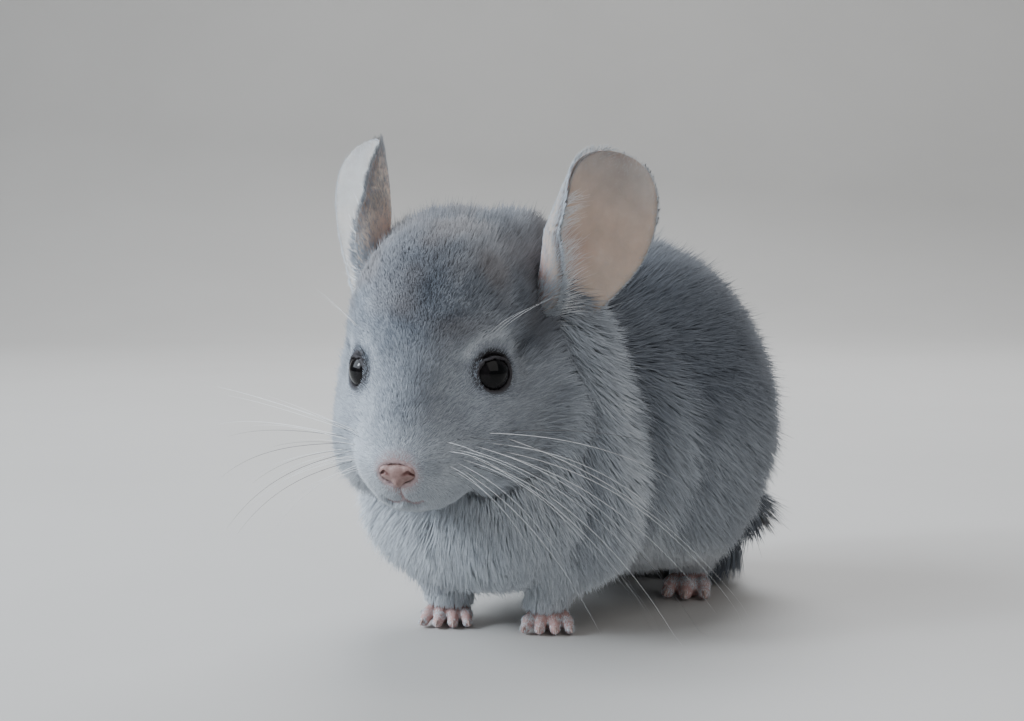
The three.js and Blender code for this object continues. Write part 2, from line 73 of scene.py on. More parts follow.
PAWS = {
    "fl": dict(at=(7.8, -33.7), yaw=33, n=4, spread=15, L=6.4, palm=(6.2, 5.8, 4.6), r=1.75),
    "fr": dict(at=(-18.3, -42.4), yaw=31, n=4, spread=15, L=6.4, palm=(6.2, 5.8, 4.6), r=1.75),
    "hl": dict(at=(15.4, 27.6), yaw=25, n=3, spread=10, L=8, palm=(5.6, 13, 5), r=2.2),
    "hr": dict(at=(-22, 26), yaw=-6, n=3, spread=10, L=8, palm=(5.6, 13, 5), r=2.2),
}
TAIL = [(0, 50, 38, 8), (12, 52, 33, 8.5), (20, 47.5, 24, 8.5), (15, 45, 13, 8.8),
        (8, 52, 9.4, 9.2), (-3, 56, 9.2, 9.4), (-16, 50.5, 8.8, 8.8), (-27, 40, 8, 8)]


def smin(a, b, k):
    if k <= 0:
        return np.minimum(a, b)
    h = np.maximum(k - np.abs(a - b), 0) / k
    return np.minimum(a, b) - h * h * (k / 4)


def smax(a, b, k):
    return -smin(-a, -b, k)


def sstep(a, b, x):
    t = np.clip((x - a) / (b - a), 0, 1)
    return t * t * (3 - 2 * t)


def ell(x, y, z, c, r, tilt=0.0):
    x = x - c[0]; y = y - c[1]; z = z - c[2]
    if tilt:
        a = math.radians(tilt); ca, sa = math.cos(a), math.sin(a)
        y, z = y * ca + z * sa, -y * sa + z * ca
    x = x / r[0]; y = y / r[1]; z = z / r[2]
    k0 = np.sqrt(x * x + y * y + z * z)
    x = x / r[0]; y = y / r[1]; z = z / r[2]
    k1 = np.sqrt(x * x + y * y + z * z)
    return k0 * (k0 - 1) / np.maximum(k1, 1e-6)


def seg(x, y, z, a, b):
    ab = [b[k] - a[k] for k in range(3)]
    L2 = ab[0] ** 2 + ab[1] ** 2 + ab[2] ** 2
    x = x - a[0]; y = y - a[1]; z = z - a[2]
    t = np.clip((x * ab[0] + y * ab[1] + z * ab[2]) / L2, 0, 1)
    return np.sqrt((x - ab[0] * t) ** 2 + (y - ab[1] * t) ** 2 + (z - ab[2] * t) ** 2) \
        - (a[3] + (b[3] - a[3]) * t)


def chain(x, y, z, pts, k):
    d = None
    for a, b in zip(pts[:-1], pts[1:]):
        e = seg(x, y, z, a, b)
        d = e if d is None else smin(d, e, k)
    return d


def group(x, y, z, table):
    d = None
    for row in table:
        c, r, k = row[:3]
        e = ell(x, y, z, c, r, row[3] if len(row) > 3 else 0)
        d = e if d is None else smin(d, e, k)
    return d


CY, SY = math.cos(HEAD_YAW), math.sin(HEAD_YAW)


def to_head(x, y, z):
    x = x - HEAD_AT[0]; y = y - HEAD_AT[1]
    return x * CY + y * SY, -x * SY + y * CY, z - HEAD_AT[2]


def eye_rel(hx, hy, hz):
    """place relative to the eye of the same side, x outwards"""
    l = hx > 0
    return (np.where(l, hx - EYE_C[1][0], EYE_C[-1][0] - hx), hy - np.where(l, EYE_C[1][1], EYE_C[-1][1]),
            hz - EYE_C[1][2])


def head_to_row(q):
    q = np.asarray(q, float)
    return np.stack([q[..., 0] * CY - q[..., 1] * SY + HEAD_AT[0],
                     q[..., 0] * SY + q[..., 1] * CY + HEAD_AT[1], q[..., 2] + HEAD_AT[2]], -1)


def head_vec(v):
    v = np.asarray(v, float)
    return np.stack([v[..., 0] * CY - v[..., 1] * SY, v[..., 0] * SY + v[..., 1] * CY, v[..., 2]], -1)


def toe_points(s):
    out = []
    for i in range(s["n"]):
        t = (i - (s["n"] - 1) / 2) / ((s["n"] - 1) / 2)
        a = math.radians(s["spread"] * t)
        dx, dy = math.sin(a), -math.cos(a)
        l = s["L"] * (1 - 0.16 * t * t); y0 = -s["palm"][1] * 0.3; r = s["r"]
        out.append(((dx, dy), [
            (t * s["palm"][0] * 0.62, y0, s["palm"][2] * 0.95, r * 1.05),
            (t * s["palm"][0] * 0.7 + dx * l * 0.45, y0 + dy * l * 0.45, r * 1.75, r * 1.1),
            (t * s["palm"][0] * 0.7 + dx * l, y0 + dy * l, r * 0.95, r)]))
    return out


TOES = {k: toe_points(s) for k, s in PAWS.items()}


def paw_local(x, y, key):
    s = PAWS[key]; a = math.radians(s["yaw"]); c, n = math.cos(a), math.sin(a)
    x = x - s["at"][0]; y = y - s["at"][1]
    return x * c + y * n, -x * n + y * c


def paw(x, y, z, key):
    s = PAWS[key]
    qx, qy = paw_local(x, y, key)
    f = ell(qx, qy, z, (0, 1.5, s["palm"][2] * 0.62), s["palm"])
    for _, pts in TOES[key]:
        f = smin(f, chain(qx, qy, z, pts, 1.0), 0.8)
    return f


def smooth_noise(P, scale, seed):
    """value noise in -1..1 at points P (n, 3)"""
    q = np.asarray(P, np.float64) / scale + seed * 17.31
    i = np.floor(q).astype(np.int64); f = q - i; f = f * f * (3 - 2 * f)

    def h(ix, iy, iz):
        n = (ix * 73856093) ^ (iy * 19349663) ^ (iz * 83492791) ^ (seed * 2654435)
        n = (n ^ (n >> 13)) * 1274126177 & 0x7fffffff
        n = (n ^ (n >> 16)) * 668265263 & 0x7fffffff
        return (n & 0xffff) / 32767.5 - 1
    out = 0
    for dx in (0, 1):
        wx = f[:, 0] if dx else 1 - f[:, 0]
        for dy in (0, 1):
            wy = f[:, 1] if dy else 1 - f[:, 1]
            for dz in (0, 1):
                wz = f[:, 2] if dz else 1 - f[:, 2]
                out = out + wx * wy * wz * h(i[:, 0] + dx, i[:, 1] + dy, i[:, 2] + dz)
    return out


def rough(P, scale, seed, octaves=3):
    o = 0; a = 1.0; t = 0
    for k in range(octaves):
        o = o + a * smooth_noise(P, scale / 2 ** k, seed + 7 * k); t += a; a *= 0.55
    return o / t


# ------------------------------------------------------------------ outline and coat depth
def parts(x, y, z):
    hx, hy, hz = to_head(x, y, z)
    fh = group(hx, hy, hz, HEAD)
    ft = group(x, y, z, TRUNK)
    fl = None
    for k, c in LEGS.items():
        e = chain(x, y, z, c, 4)
        fl = e if fl is None else np.minimum(fl, e)
    fta = chain(x, y, z, TAIL, 5)
    return hx, hy, hz, fh, ft, fl, fta


def depth_of(x, y, z, hx, hy, hz, fh, ft, fl, fta):
    """how far the skin lies under the tips of the coat"""
    dt = 3.2 + 2.4 * sstep(8, 34, z) + 0.4 * sstep(70, 95, z)
    dh = 0.75 + 2.5 * sstep(-14, 16, hy) + 0.9 * sstep(2, 26, hz) * sstep(-12, 4, hy)
    dn = np.sqrt((hx - NOSE_AT[0]) ** 2 + (hy - NOSE_AT[1]) ** 2 + (hz - NOSE_AT[2]) ** 2)
    dh = dh * (0.35 + 0.65 * sstep(4.5, 9, dn))
    ex, ey, ez = eye_rel(hx, hy, hz)
    de = np.sqrt(ex ** 2 + ey ** 2 + ez ** 2)
    dh = dh * (0.22 + 0.78 * sstep(5.0, 10.5, de))
    dl = 0.9 + 1.6 * sstep(7, 20, z)
    w = np.stack([np.exp(-np.clip(f + o, -6, 20) / 1.6) for f, o in
                  ((fh, -0.6), (ft, 0.0), (fl, 0.6), (fta, 0.0))])
    w = w / w.sum(0)
    D = w[0] * dh + w[1] * dt + w[2] * dl + w[3] * 5.6
    return D, w


def outline(x, y, z):
    hx, hy, hz, fh, ft, fl, fta = parts(x, y, z)
    return smin(smin(smin(ft, fl, 6), fh, 6), fta, 3)


LID = math.radians(51.0)
LIDS = {1: math.radians(47.0), -1: math.radians(44.0)}
EYE_DIR = np.array([0.735, -0.675, 0.06]); EYE_DIR /= np.linalg.norm(EYE_DIR)


def eye_frame(side):
    e = EYE_DIR * np.array([side, 1, 1])
    up = np.array([0, 0, 1.0]); r = np.cross(e, up); r /= np.linalg.norm(r); u = np.cross(r, e)
    return EYE_C[side], e, r * side, u


def skin_field(x, y, z):
    hx, hy, hz, fh, ft, fl, fta = parts(x, y, z)
    D, _ = depth_of(x, y, z, hx, hy, hz, fh, ft, fl, fta)
    f = smin(smin(smin(ft, fl, 6), fh, 6), fta, 3) + D
    # eyes: a thin lid fold round the ball, and the socket it sits in
    for side in (1, -1):
        c, e, r, u = eye_frame(side)
        m = (hx - c[0]) ** 2 + (hy - c[1]) ** 2 + (hz - c[2]) ** 2 < 121
        if not m.any():
            continue
        px, py, pz = hx[m] - c[0], hy[m] - c[1], hz[m] - c[2]
        d = np.sqrt(px * px + py * py + pz * pz) + 1e-6
        ce = (px * e[0] + py * e[1] + pz * e[2]); cr = px * r[0] + py * r[1] + pz * r[2]
        cu = px * u[0] + py * u[1] + pz * u[2]
        ph = np.arctan2(cu, cr)
        ang = np.arctan2(np.sqrt(cr * cr + cu * cu), ce)
        lim = LIDS[side] + 0.07 * np.cos(2 * ph) - 0.10 * np.sin(ph)
        lid = np.sqrt(((ang - lim - 0.06) * EYE_R) ** 2 + (d - EYE_R - 0.12) ** 2) - 0.62
        g = smin(f[m], lid, 1.3)
        # keep the opening clear
        open_ = np.where(ang < lim, (lim - ang) * EYE_R, -1.0)
        g = smax(g, EYE_R - 0.12 - d, 0.2)
        g = np.where((ang < lim) & (d < EYE_R + 3.5), np.maximum(g, np.minimum(open_, 0.8) - 0.05), g)
        f = f.copy(); f[m] = g
    # mouth and the groove under the nose
    m = (np.abs(hx) < 12) & (hy < -8) & (hz < -18)
    if m.any():
        f = f.copy(); f[m] = f[m] + 0.85 * np.exp(-(mouth_line(hx[m], hz[m]) / 0.55) ** 2)
    # upright folds of the flank
    f = f + fold(x, y, z)
    # hollow for the nose leather
    m = (np.abs(hx) < 9) & (hy < -14) & (np.abs(hz - NOSE_AT[2]) < 9)
    if m.any():
        g = ell(hx[m], hy[m], hz[m], NOSE_AT, (4.4, 2.6, 2.9))
        f = f.copy(); f[m] = smax(f[m], -g, 0.6)
    return f


MOUTH = [(0, -24.4), (0.05, -28.4), (1.5, -29.5), (3.0, -29.6), (4.2, -29.0)]


def mouth_line(hx, hz):
    """distance to the mouth line as seen from the front"""
    ax = np.abs(hx); d = None
    for a, b in zip(MOUTH[:-1], MOUTH[1:]):
        u, v = b[0] - a[0], b[1] - a[1]
        t = np.clip(((ax - a[0]) * u + (hz - a[1]) * v) / (u * u + v * v), 0, 1)
        e = np.sqrt((ax - a[0] - u * t) ** 2 + (hz - a[1] - v * t) ** 2)
        d = e if d is None else np.minimum(d, e)
    return d


FOLDS = ((-36.5, -0.03, 2.6, 1.5, 22, 88), (-18.5, -0.06, 3.0, 1.0, 14, 84), (-3.5, -0.10, 3.2, 0.55, 12, 74))


def fold(x, y, z):
    """depth of the valleys between the soft upright folds on the flank"""
    wob = 1.6 * np.sin(z * 0.13 + 0.6) + 0.9 * np.sin(z * 0.31 + 2.0)
    o = 0
    for y0, lean, wd, a, z0, z1 in FOLDS:
        d = (y - (y0 + lean * (z - 50)) - wob) / wd
        o = o + a * np.exp(-d * d) * sstep(z0 - 8, z0 + 10, z) * sstep(z1 + 6, z1 - 14, z)
    return o * sstep(2, 16, x)


# ------------------------------------------------------------------ surface of a field
def nets(field, xs, ys, zs, block=4):
    """closed quad surface of field = 0 on a rectilinear grid"""
    nx, ny, nz = len(xs), len(ys), len(zs)
    xs, ys, zs = (np.asarray(a, F) for a in (xs, ys, zs))
    V = np.full((nx, ny, nz), 50, F)
    B = block
    cells = []
    for i in range(0, nx, B):
        for j in range(0, ny, B):
            for k in range(0, nz, B):
                cells.append((i, j, k))
    cells = np.array(cells)
    ce = []; hd = []
    for a, n, g in ((0, nx, xs), (1, ny, ys), (2, nz, zs)):
        lo = g[cells[:, a]]; hi = g[np.minimum(cells[:, a] + B, n - 1)]
        ce.append((lo + hi) / 2); hd.append((hi - lo) / 2)
    half = np.sqrt(hd[0] ** 2 + hd[1] ** 2 + hd[2] ** 2)
    fc = field(*ce)
    near = np.abs(fc) < half * 1.6 + 2.0
    inside = (~near) & (fc < 0)
    for i, j, k in cells[inside]:
        V[i:i + B, j:j + B, k:k + B] = -50
    act = cells[near]
    o = np.stack(np.meshgrid(np.arange(B), np.arange(B), np.arange(B), indexing="ij"), -1).reshape(-1, 3)
    idx = (act[:, None, :] + o[None]).reshape(-1, 3)
    idx = idx[(idx < np.array([nx, ny, nz])).all(1)]
    for s in range(0, len(idx), 400000):
        c = idx[s:s + 400000]
        V[c[:, 0], c[:, 1], c[:, 2]] = field(xs[c[:, 0]], ys[c[:, 1]], zs[c[:, 2]])
    G = [xs, ys, zs]
    acc = np.zeros((nx - 1) * (ny - 1) * (nz - 1) * 3); cnt = np.zeros((nx - 1) * (ny - 1) * (nz - 1))
    shp = np.array([nx - 1, ny - 1, nz - 1])
    quads = []
    for ax in range(3):
        s0 = [slice(None)] * 3; s1 = [slice(None)] * 3
        s0[ax] = slice(0, -1); s1[ax] = slice(1, None)
        a = V[tuple(s0)]; b = V[tuple(s1)]
        cr = (a < 0) != (b < 0)
        e = np.argwhere(cr); av = a[cr]; t = av / (av - b[cr])
        pos = np.empty((len(e), 3))
        for k in range(3):
            g = G[k]
            pos[:, k] = g[e[:, k]] + (t * (g[e[:, k] + 1] - g[e[:, k]]) if k == ax else 0)
        o1, o2 = [(1, 2), (2, 0), (0, 1)][ax]

        def cell(da, db):
            c = e.copy(); c[:, o1] += da; c[:, o2] += db; return c
        four = [cell(-1, -1), cell(0, -1), cell(0, 0), cell(-1, 0)]
        flat = []
        for c in four:
            ok = ((c >= 0) & (c < shp)).all(1)
            fl = (c[:, 0] * shp[1] + c[:, 1]) * shp[2] + c[:, 2]
            for k in range(3):
                acc += np.bincount(fl[ok] * 3 + k, weights=pos[ok, k], minlength=len(acc))
            cnt += np.bincount(fl[ok], minlength=len(cnt))
            flat.append(np.where(ok, fl, -1))
        flat = np.stack(flat, 1)
        good = (flat >= 0).all(1)
        flat = flat[good]; neg = (av < 0)[good]
        quads.append(np.where(neg[:, None], flat, flat[:, ::-1]))
    used = cnt > 0
    ids = np.cumsum(used) - 1
    verts = acc.reshape(-1, 3)[used] / cnt[used][:, None]
    q = ids[np.concatenate(quads)]
    return verts, q


def gradient(field, P, h=0.06):
    P = np.asarray(P, F); g = np.empty(P.shape, F)
    for k in range(3):
        a = [P[:, 0], P[:, 1], P[:, 2]]; b = list(a)
        a[k] = a[k] + F(h); b[k] = b[k] - F(h)
        g[:, k] = (field(*a) - field(*b)) / (2 * h)
    return g


def project(field, P, steps=2, cap=0.6):
    P = np.asarray(P, F).copy()
    for _ in range(steps):
        g = gradient(field, P); n2 = (g * g).sum(1) + 1e-3
        m = -(field(P[:, 0], P[:, 1], P[:, 2]) / n2)[:, None] * g
        l = np.linalg.norm(m, axis=1, keepdims=True)
        P += m * np.minimum(1, cap / np.maximum(l, 1e-6))
    return P


def spacing(lo, hi, fine_lo, fine_hi, fine, coarse):
    out = [lo]
    while out[-1] < hi:
        x = out[-1]
        d = max(fine_lo - x, x - fine_hi, 0)
        out.append(x + fine + (coarse - fine) * min(1, d / 8))
    return np.array(out)


# ------------------------------------------------------------------ Blender helpers
def to_m(P):
    return (np.asarray(P, float) + SHIFT) * 0.001


def new_mesh(name, V, faces, smooth=True):
    """faces: (n, k) array, all of the same size, vertices in the working frame"""
    me = bpy.data.meshes.new(name)
    V = to_m(V).astype(F); faces = np.asarray(faces, np.int32); n, k = faces.shape
    me.vertices.add(len(V)); me.vertices.foreach_set("co", V.ravel())
    me.loops.add(n * k); me.loops.foreach_set("vertex_index", faces.ravel())
    me.polygons.add(n)
    me.polygons.foreach_set("loop_start", np.arange(0, n * k, k, dtype=np.int32))
    me.polygons.foreach_set("loop_total", np.full(n, k, np.int32))
    me.polygons.foreach_set("use_smooth", np.full(n, smooth, bool))
    me.update(calc_edges=True)
    return me


def new_object(name, me):
    ob = bpy.data.objects.new(name, me)
    bpy.context.scene.collection.objects.link(ob)
    return ob


def attribute(me, name, values, kind="FLOAT"):
    a = me.attributes.new(name, kind, "POINT")
    if kind == "FLOAT":
        a.data.foreach_set("value", np.asarray(values, F).ravel())
    else:
        a.data.foreach_set("vector", np.asarray(values, F).ravel())


# ------------------------------------------------------------------ markings, painted shade and painted highlight
def markings_and_shade(P, N):
    """tone 0 (white) .. 1 (darkest slate) at points P with surface normals N, and brownness; the tone also holds
    painted shade in the creases and folds and painted highlight on the fold ridges
    """
    P = np.asarray(P, float); x, y, z = P.T
    hx, hy, hz, fh, ft, fl, fta = parts(x, y, z)
    _, w = depth_of(x, y, z, hx, hy, hz, fh, ft, fl, fta)
    wh, wt, wl, wta = w
    ahx = np.abs(hx)
    n1 = smooth_noise(P, 16, 3); n2 = smooth_noise(P, 7, 4)
    # trunk: dark back, mid flank, white below and in front
    back = sstep(34, 90, z + 6 * sstep(-10, 40, y) + 3 * n1)
    tb = 0.42 + 0.42 * back
    tb = tb - 0.10 * sstep(30, 12, z) - 0.23 * sstep(20, 46, y) * sstep(84, 56, z)
    tb = tb - 0.40 * sstep(0.25, 0.80, -N[:, 2]) * (z < 40)
    front = sstep(-18, -46, y + 2 * n1) * sstep(76, 44, z)
    tb = tb * (1 - front) + front * 0.23
    collar = sstep(-12, -38, y + 1.5 * n2) * sstep(98, 80, z)
    tb = tb * (1 - collar) + collar * np.minimum(tb, 0.31)
    # painted shade: the coat tone is darker in the valleys between the flank folds
    fo = fold(x, y, z)
    tb = tb + 0.10 * fo
    # painted highlight: the coat tone is lighter along the ridges between the flank folds
    ridge_highlight = np.exp(-((y + 27 + 0.04 * (z - 50)) / 4.2) ** 2) + 0.7 * np.exp(-((y + 10 + 0.08 * (z - 50)) / 3.6) ** 2)
    tb = tb - 0.20 * ridge_highlight * sstep(2, 16, x) * sstep(92, 60, z)
    # head: slate crown, paler face
    crown = sstep(-3, 19, hz + 0.18 * hy - 0.10 * ahx + 3.4 * n2 + 1.5 * n1)
    th = 0.43 + 0.27 * crown
    bridge = sstep(11, 3, ahx) * sstep(-18, -4, hz)
    th = th + 0.13 * bridge + crown * 0.10 * n2
    ex, ey, ez = eye_rel(hx, hy, hz)
    # dark from the outer corner of the eye up to the ear
    d = ez - 5.5 - 0.22 * (ey - 4)
    th = th + 0.20 * np.exp(-(d / 5.2) ** 2) * sstep(2, 9, ey) * sstep(30, 20, ey)
    low = sstep(-12, -26, hz)
    th = th * (1 - low) + low * 0.27
    muz = sstep(-10, -19, hy) * sstep(-9, -18, hz)
    th = th * (1 - 0.6 * muz) + 0.6 * muz * 0.22
    de = np.sqrt(ex ** 2 + ey ** 2 + (ez - 0.6) ** 2)
    arc = np.exp(-((de - 8.3) / 1.5) ** 2)
    th = th - np.where(hx > 0, 0.21, 0.10) * arc * sstep(1.5, 5.0, ez) * sstep(8.5, 3.5, ey)
    under = np.exp(-(((ex - 1.5) / 6.0) ** 2 + ((ez + 9.0) / 3.4) ** 2)) * (np.abs(ey) < 12)
    th = th - 0.05 * under
    # painted shade: dark bands behind the eye where the coat creases, one down the cheek to the jowl and one further
    # back at the ruff
    cheek_crease_shade = np.exp(-((ey - 12.5 - 0.25 * (ez + 14) + 1.2 * n2) / 2.0) ** 2) * sstep(-30, -22, ez) * sstep(-2, -8, ez)
    th = th + 0.10 * cheek_crease_shade
    th = th + 0.10 * np.exp(-((ey - 21 + 0.1 * (ez + 10) + 1.2 * n2) / 1.8) ** 2) * sstep(-34, -24, ez) * sstep(6, -4, ez)
    line = np.exp(-((ez - 3.0 - 0.30 * (ey - 3)) / 1.0) ** 2) * sstep(3.2, 5, ey) * sstep(13, 8, ey)
    th = th + 0.25 * line
    ring = np.exp(-((np.sqrt(ex ** 2 + ey ** 2 + ez ** 2) - 5.9) / 0.7) ** 2)
    th = th + 0.22 * ring
    tl = 0.13 + 0.12 * sstep(22, 34, z)
    tone = wh * th + wt * tb + wl * tl + wta * 0.74
    # mottling, stronger on the crown
    m = rough(P, 8.5, 11, 3)
    tone = tone + m * (0.05 + 0.13 * wh * crown + 0.03 * back * wt)
    m2 = rough(P * np.array([1.0, 0.6, 1.0]), 2.6, 21, 2)
    tone = tone + m2 * (0.03 + 0.05 * wh * crown + 0.05 * wh)
    brown = np.clip(wh * crown * (0.35 + 1.1 * smooth_noise(P, 7.0, 31)), 0, 1)
    return np.clip(tone, 0, 1), brown, w


# ------------------------------------------------------------------ materials
def nt_new(name):
    m = bpy.data.materials.new(name); m.use_nodes = True
    nt = m.node_tree; nt.nodes.clear()
    out = nt.nodes.new("ShaderNodeOutputMaterial"); b = nt.nodes.new("ShaderNodeBsdfPrincipled")
    nt.links.new(b.outputs[0], out.inputs[0])
    return m, nt, b


def node(nt, kind, **kw):
    n = nt.nodes.new(kind)
    for k, v in kw.items():
        if k.startswith("in_"):
            key = k[3:]
            n.inputs[int(key) if key.isdigit() else key].default_value = v
        else:
            setattr(n, k, v)
    return n


def ramp(nt, fac, stops, mode="LINEAR"):
    r = nt.nodes.new("ShaderNodeValToRGB"); cr = r.color_ramp; cr.interpolation = mode
    while len(cr.elements) > 1:
        cr.elements.remove(cr.elements[-1])
    cr.elements[0].position = stops[0][0]; cr.elements[0].color = (*stops[0][1], 1)
    for p, c in stops[1:]:
        e = cr.elements.new(p); e.color = (*c, 1)
    nt.links.new(fac, r.inputs[0])
    return r.outputs[0]


def attr(nt, name):
    a = nt.nodes.new("ShaderNodeAttribute"); a.attribute_name = name
    return a.outputs["Fac"]


def mix(nt, fac, a, b, mode="MIX"):
    m = nt.nodes.new("ShaderNodeMix"); m.data_type = "RGBA"; m.blend_type = mode
    for sock, v in ((m.inputs[0], fac), (m.inputs[6], a), (m.inputs[7], b)):
        if hasattr(v, "links"):
            nt.links.new(v, sock)
        else:
            sock.default_value = v if not isinstance(v, tuple) else (*v, 1)
    return m.outputs[2]


def math_node(nt, op, a, b=None, c=None):
    m = nt.nodes.new("ShaderNodeMath"); m.operation = op
    for s, v in zip(m.inputs, (a, b, c)):
        if v is None:
            continue
        if hasattr(v, "links"):
            nt.links.new(v, s)
        else:
            s.default_value = v
    return m.outputs[0]


# linear colours from white under-coat to dark slate
TONES = [(0.0, (0.72, 0.76, 0.80)), (0.12, (0.60, 0.64, 0.68)), (0.30, (0.42, 0.455, 0.50)),
         (0.50, (0.265, 0.29, 0.325)), (0.72, (0.145, 0.163, 0.192)), (1.0, (0.060, 0.070, 0.088))]


def coat_colour(nt, skin=False):
    tone = attr(nt, "tone")
    tc = node(nt, "ShaderNodeTexCoord")
    nz = node(nt, "ShaderNodeTexNoise", in_Scale=420.0, in_Detail=2.0, in_Roughness=0.6)
    nt.links.new(tc.outputs["Object"], nz.inputs["Vector"])
    wob = math_node(nt, "MULTIPLY_ADD", nz.outputs["Fac"], 0.10, -0.05)
    tone2 = math_node(nt, "ADD", tone, wob)
    if not skin:
        rnd = attr(nt, "rnd")
        tone2 = math_node(nt, "ADD", tone2, math_node(nt, "MULTIPLY_ADD", rnd, 0.20, -0.10))
    col = ramp(nt, tone2, TONES)
    brown = attr(nt, "brown")
    col = mix(nt, math_node(nt, "MULTIPLY", brown, 0.5), col, (0.17, 0.15, 0.145))
    return col


def coat_material(name, tip_gain=1.10, root_gain=0.80):
    m, nt, b = nt_new(name)
    col = coat_colour(nt)
    tip = attr(nt, "tip")
    g = nt.nodes.new("ShaderNodeMapRange")
    nt.links.new(tip, g.inputs[0])
    g.inputs[1].default_value = 0.05; g.inputs[2].default_value = 0.95
    g.inputs[3].default_value = root_gain; g.inputs[4].default_value = tip_gain
    sc = nt.nodes.new("ShaderNodeVectorMath"); sc.operation = "SCALE"
    nt.links.new(col, sc.inputs[0]); nt.links.new(g.outputs[0], sc.inputs["Scale"])
    nt.links.new(sc.outputs[0], b.inputs["Base Color"])
    b.inputs["Roughness"].default_value = 0.88
    b.inputs["Specular IOR Level"].default_value = 0.22
    b.inputs["Sheen Weight"].default_value = 0.22
    b.inputs["Sheen Roughness"].default_value = 0.45
    return m


def skin_material(name):
    m, nt, b = nt_new(name)
    col = coat_colour(nt, skin=True)
    # painted shade: the skin takes the coat's colour multiplied darker, as shade deep under the coat
    dark = mix(nt, 1.0, col, (0.62, 0.62, 0.64), "MULTIPLY")
    pink = attr(nt, "pink")
    tc = node(nt, "ShaderNodeTexCoord")
    nz = node(nt, "ShaderNodeTexNoise", in_Scale=900.0, in_Detail=3.0, in_Roughness=0.6)
    nt.links.new(tc.outputs["Object"], nz.inputs["Vector"])
    pk = ramp(nt, nz.outputs["Fac"], [(0.3, (0.42, 0.22, 0.20)), (0.7, (0.56, 0.33, 0.29))])
    col = mix(nt, pink, dark, pk)
    lid = attr(nt, "lid")
    col = mix(nt, lid, col, (0.035, 0.032, 0.036))
    nt.links.new(col, b.inputs["Base Color"])
    b.inputs["Roughness"].default_value = 0.62
    b.inputs["Specular IOR Level"].default_value = 0.3
    bump = node(nt, "ShaderNodeBump", in_Strength=0.35, in_Distance=0.0004)
    nt.links.new(nz.outputs["Fac"], bump.inputs["Height"])
    nt.links.new(bump.outputs[0], b.inputs["Normal"])
    return m


# ------------------------------------------------------------------ ears
EAR = dict(H=48.58, Wm=39.05, sm=0.5, W0=24.47, p=1.81, A=(224.69, 121.53, 104.18), bend=-3.98,
           lean=7.1, c=1.62, tw=19.67)
EARS = {"L": dict(at=(22.76, 20.12, 11.22), az=42.91, back=12.21, out=14.35, side=1),
        "R": dict(at=(20.42, 20.26, 17.41), az=43.14, back=24.97, out=2.52, side=-1, H=47.74, Wm=37.77,
                  A=(224.69, 105.7, 90.6), bend=-4.91, lean=11.51, c=1.79, tw=18.25)}


def rot(ax, d):
    a = math.radians(d); c, s = math.cos(a), math.sin(a)
    return np.array([[1, 0, 0], [0, c, -s], [0, s, c]]) if ax == "x" else \
        np.array([[c, 0, s], [0, 1, 0], [-s, 0, c]])


def ear_sheet(o, s, cols):
    """mid surface at heights s (0 root .. 1 tip), cols points across, front edge first"""
    E = {**EAR, **o}; M = 65; s = np.asarray(s, float)[:, None]
    a = math.radians(o["az"]); R = rot("y", o["out"]) @ rot("x", -o["back"])
    bn, bu, bs = R @ [math.sin(a), -math.cos(a), 0], R @ [math.cos(a), math.sin(a), 0], R @ [0, 0, 1.0]
    k = np.clip(s / E["sm"], 0, 1); wf = E["W0"] + (E["Wm"] - E["W0"]) * k * k * (3 - 2 * k)
    q = np.clip((s - E["sm"]) / (1 - E["sm"]), 0, 1); w = wf * np.sqrt(np.clip(1 - q ** E["p"], 0, 1))
    A = np.radians(np.interp(s[:, 0], [0, 0.45, 1], E["A"]))[:, None]
    xx = np.linspace(-1, 1, M)[None] * (w / wf)
    th = A / 2 * (xx - E["c"] * xx * xx / 2); ds = w / (M - 1)
    z0 = np.zeros((len(s), 1))
    cu = np.concatenate([z0, np.cumsum((np.cos(th[:, 1:]) + np.cos(th[:, :-1])) / 2 * ds, 1)], 1)
    cn = np.concatenate([z0, np.cumsum((np.sin(th[:, 1:]) + np.sin(th[:, :-1])) / 2 * ds, 1)], 1)
    cu -= cu[:, M // 2:M // 2 + 1]; cn -= cn[:, M // 2:M // 2 + 1]
    t = (np.asarray(cols, float) + 1) / 2 * (M - 1); i0 = np.clip(t.astype(int), 0, M - 2); f = t - i0
    u = cu[:, i0] * (1 - f) + cu[:, i0 + 1] * f; n = cn[:, i0] * (1 - f) + cn[:, i0 + 1] * f
    a2 = np.radians(E["tw"] * (s - 0.5))
    u, n = u * np.cos(a2) - n * np.sin(a2) + E["lean"] * s * s, u * np.sin(a2) + n * np.cos(a2) - E["bend"] * s * s
    P = np.array(o["at"]) + n[..., None] * bn + u[..., None] * bu + (E["H"] * s)[..., None] * bs
    P[..., 0] *= o["side"]
    return head_to_row(P)


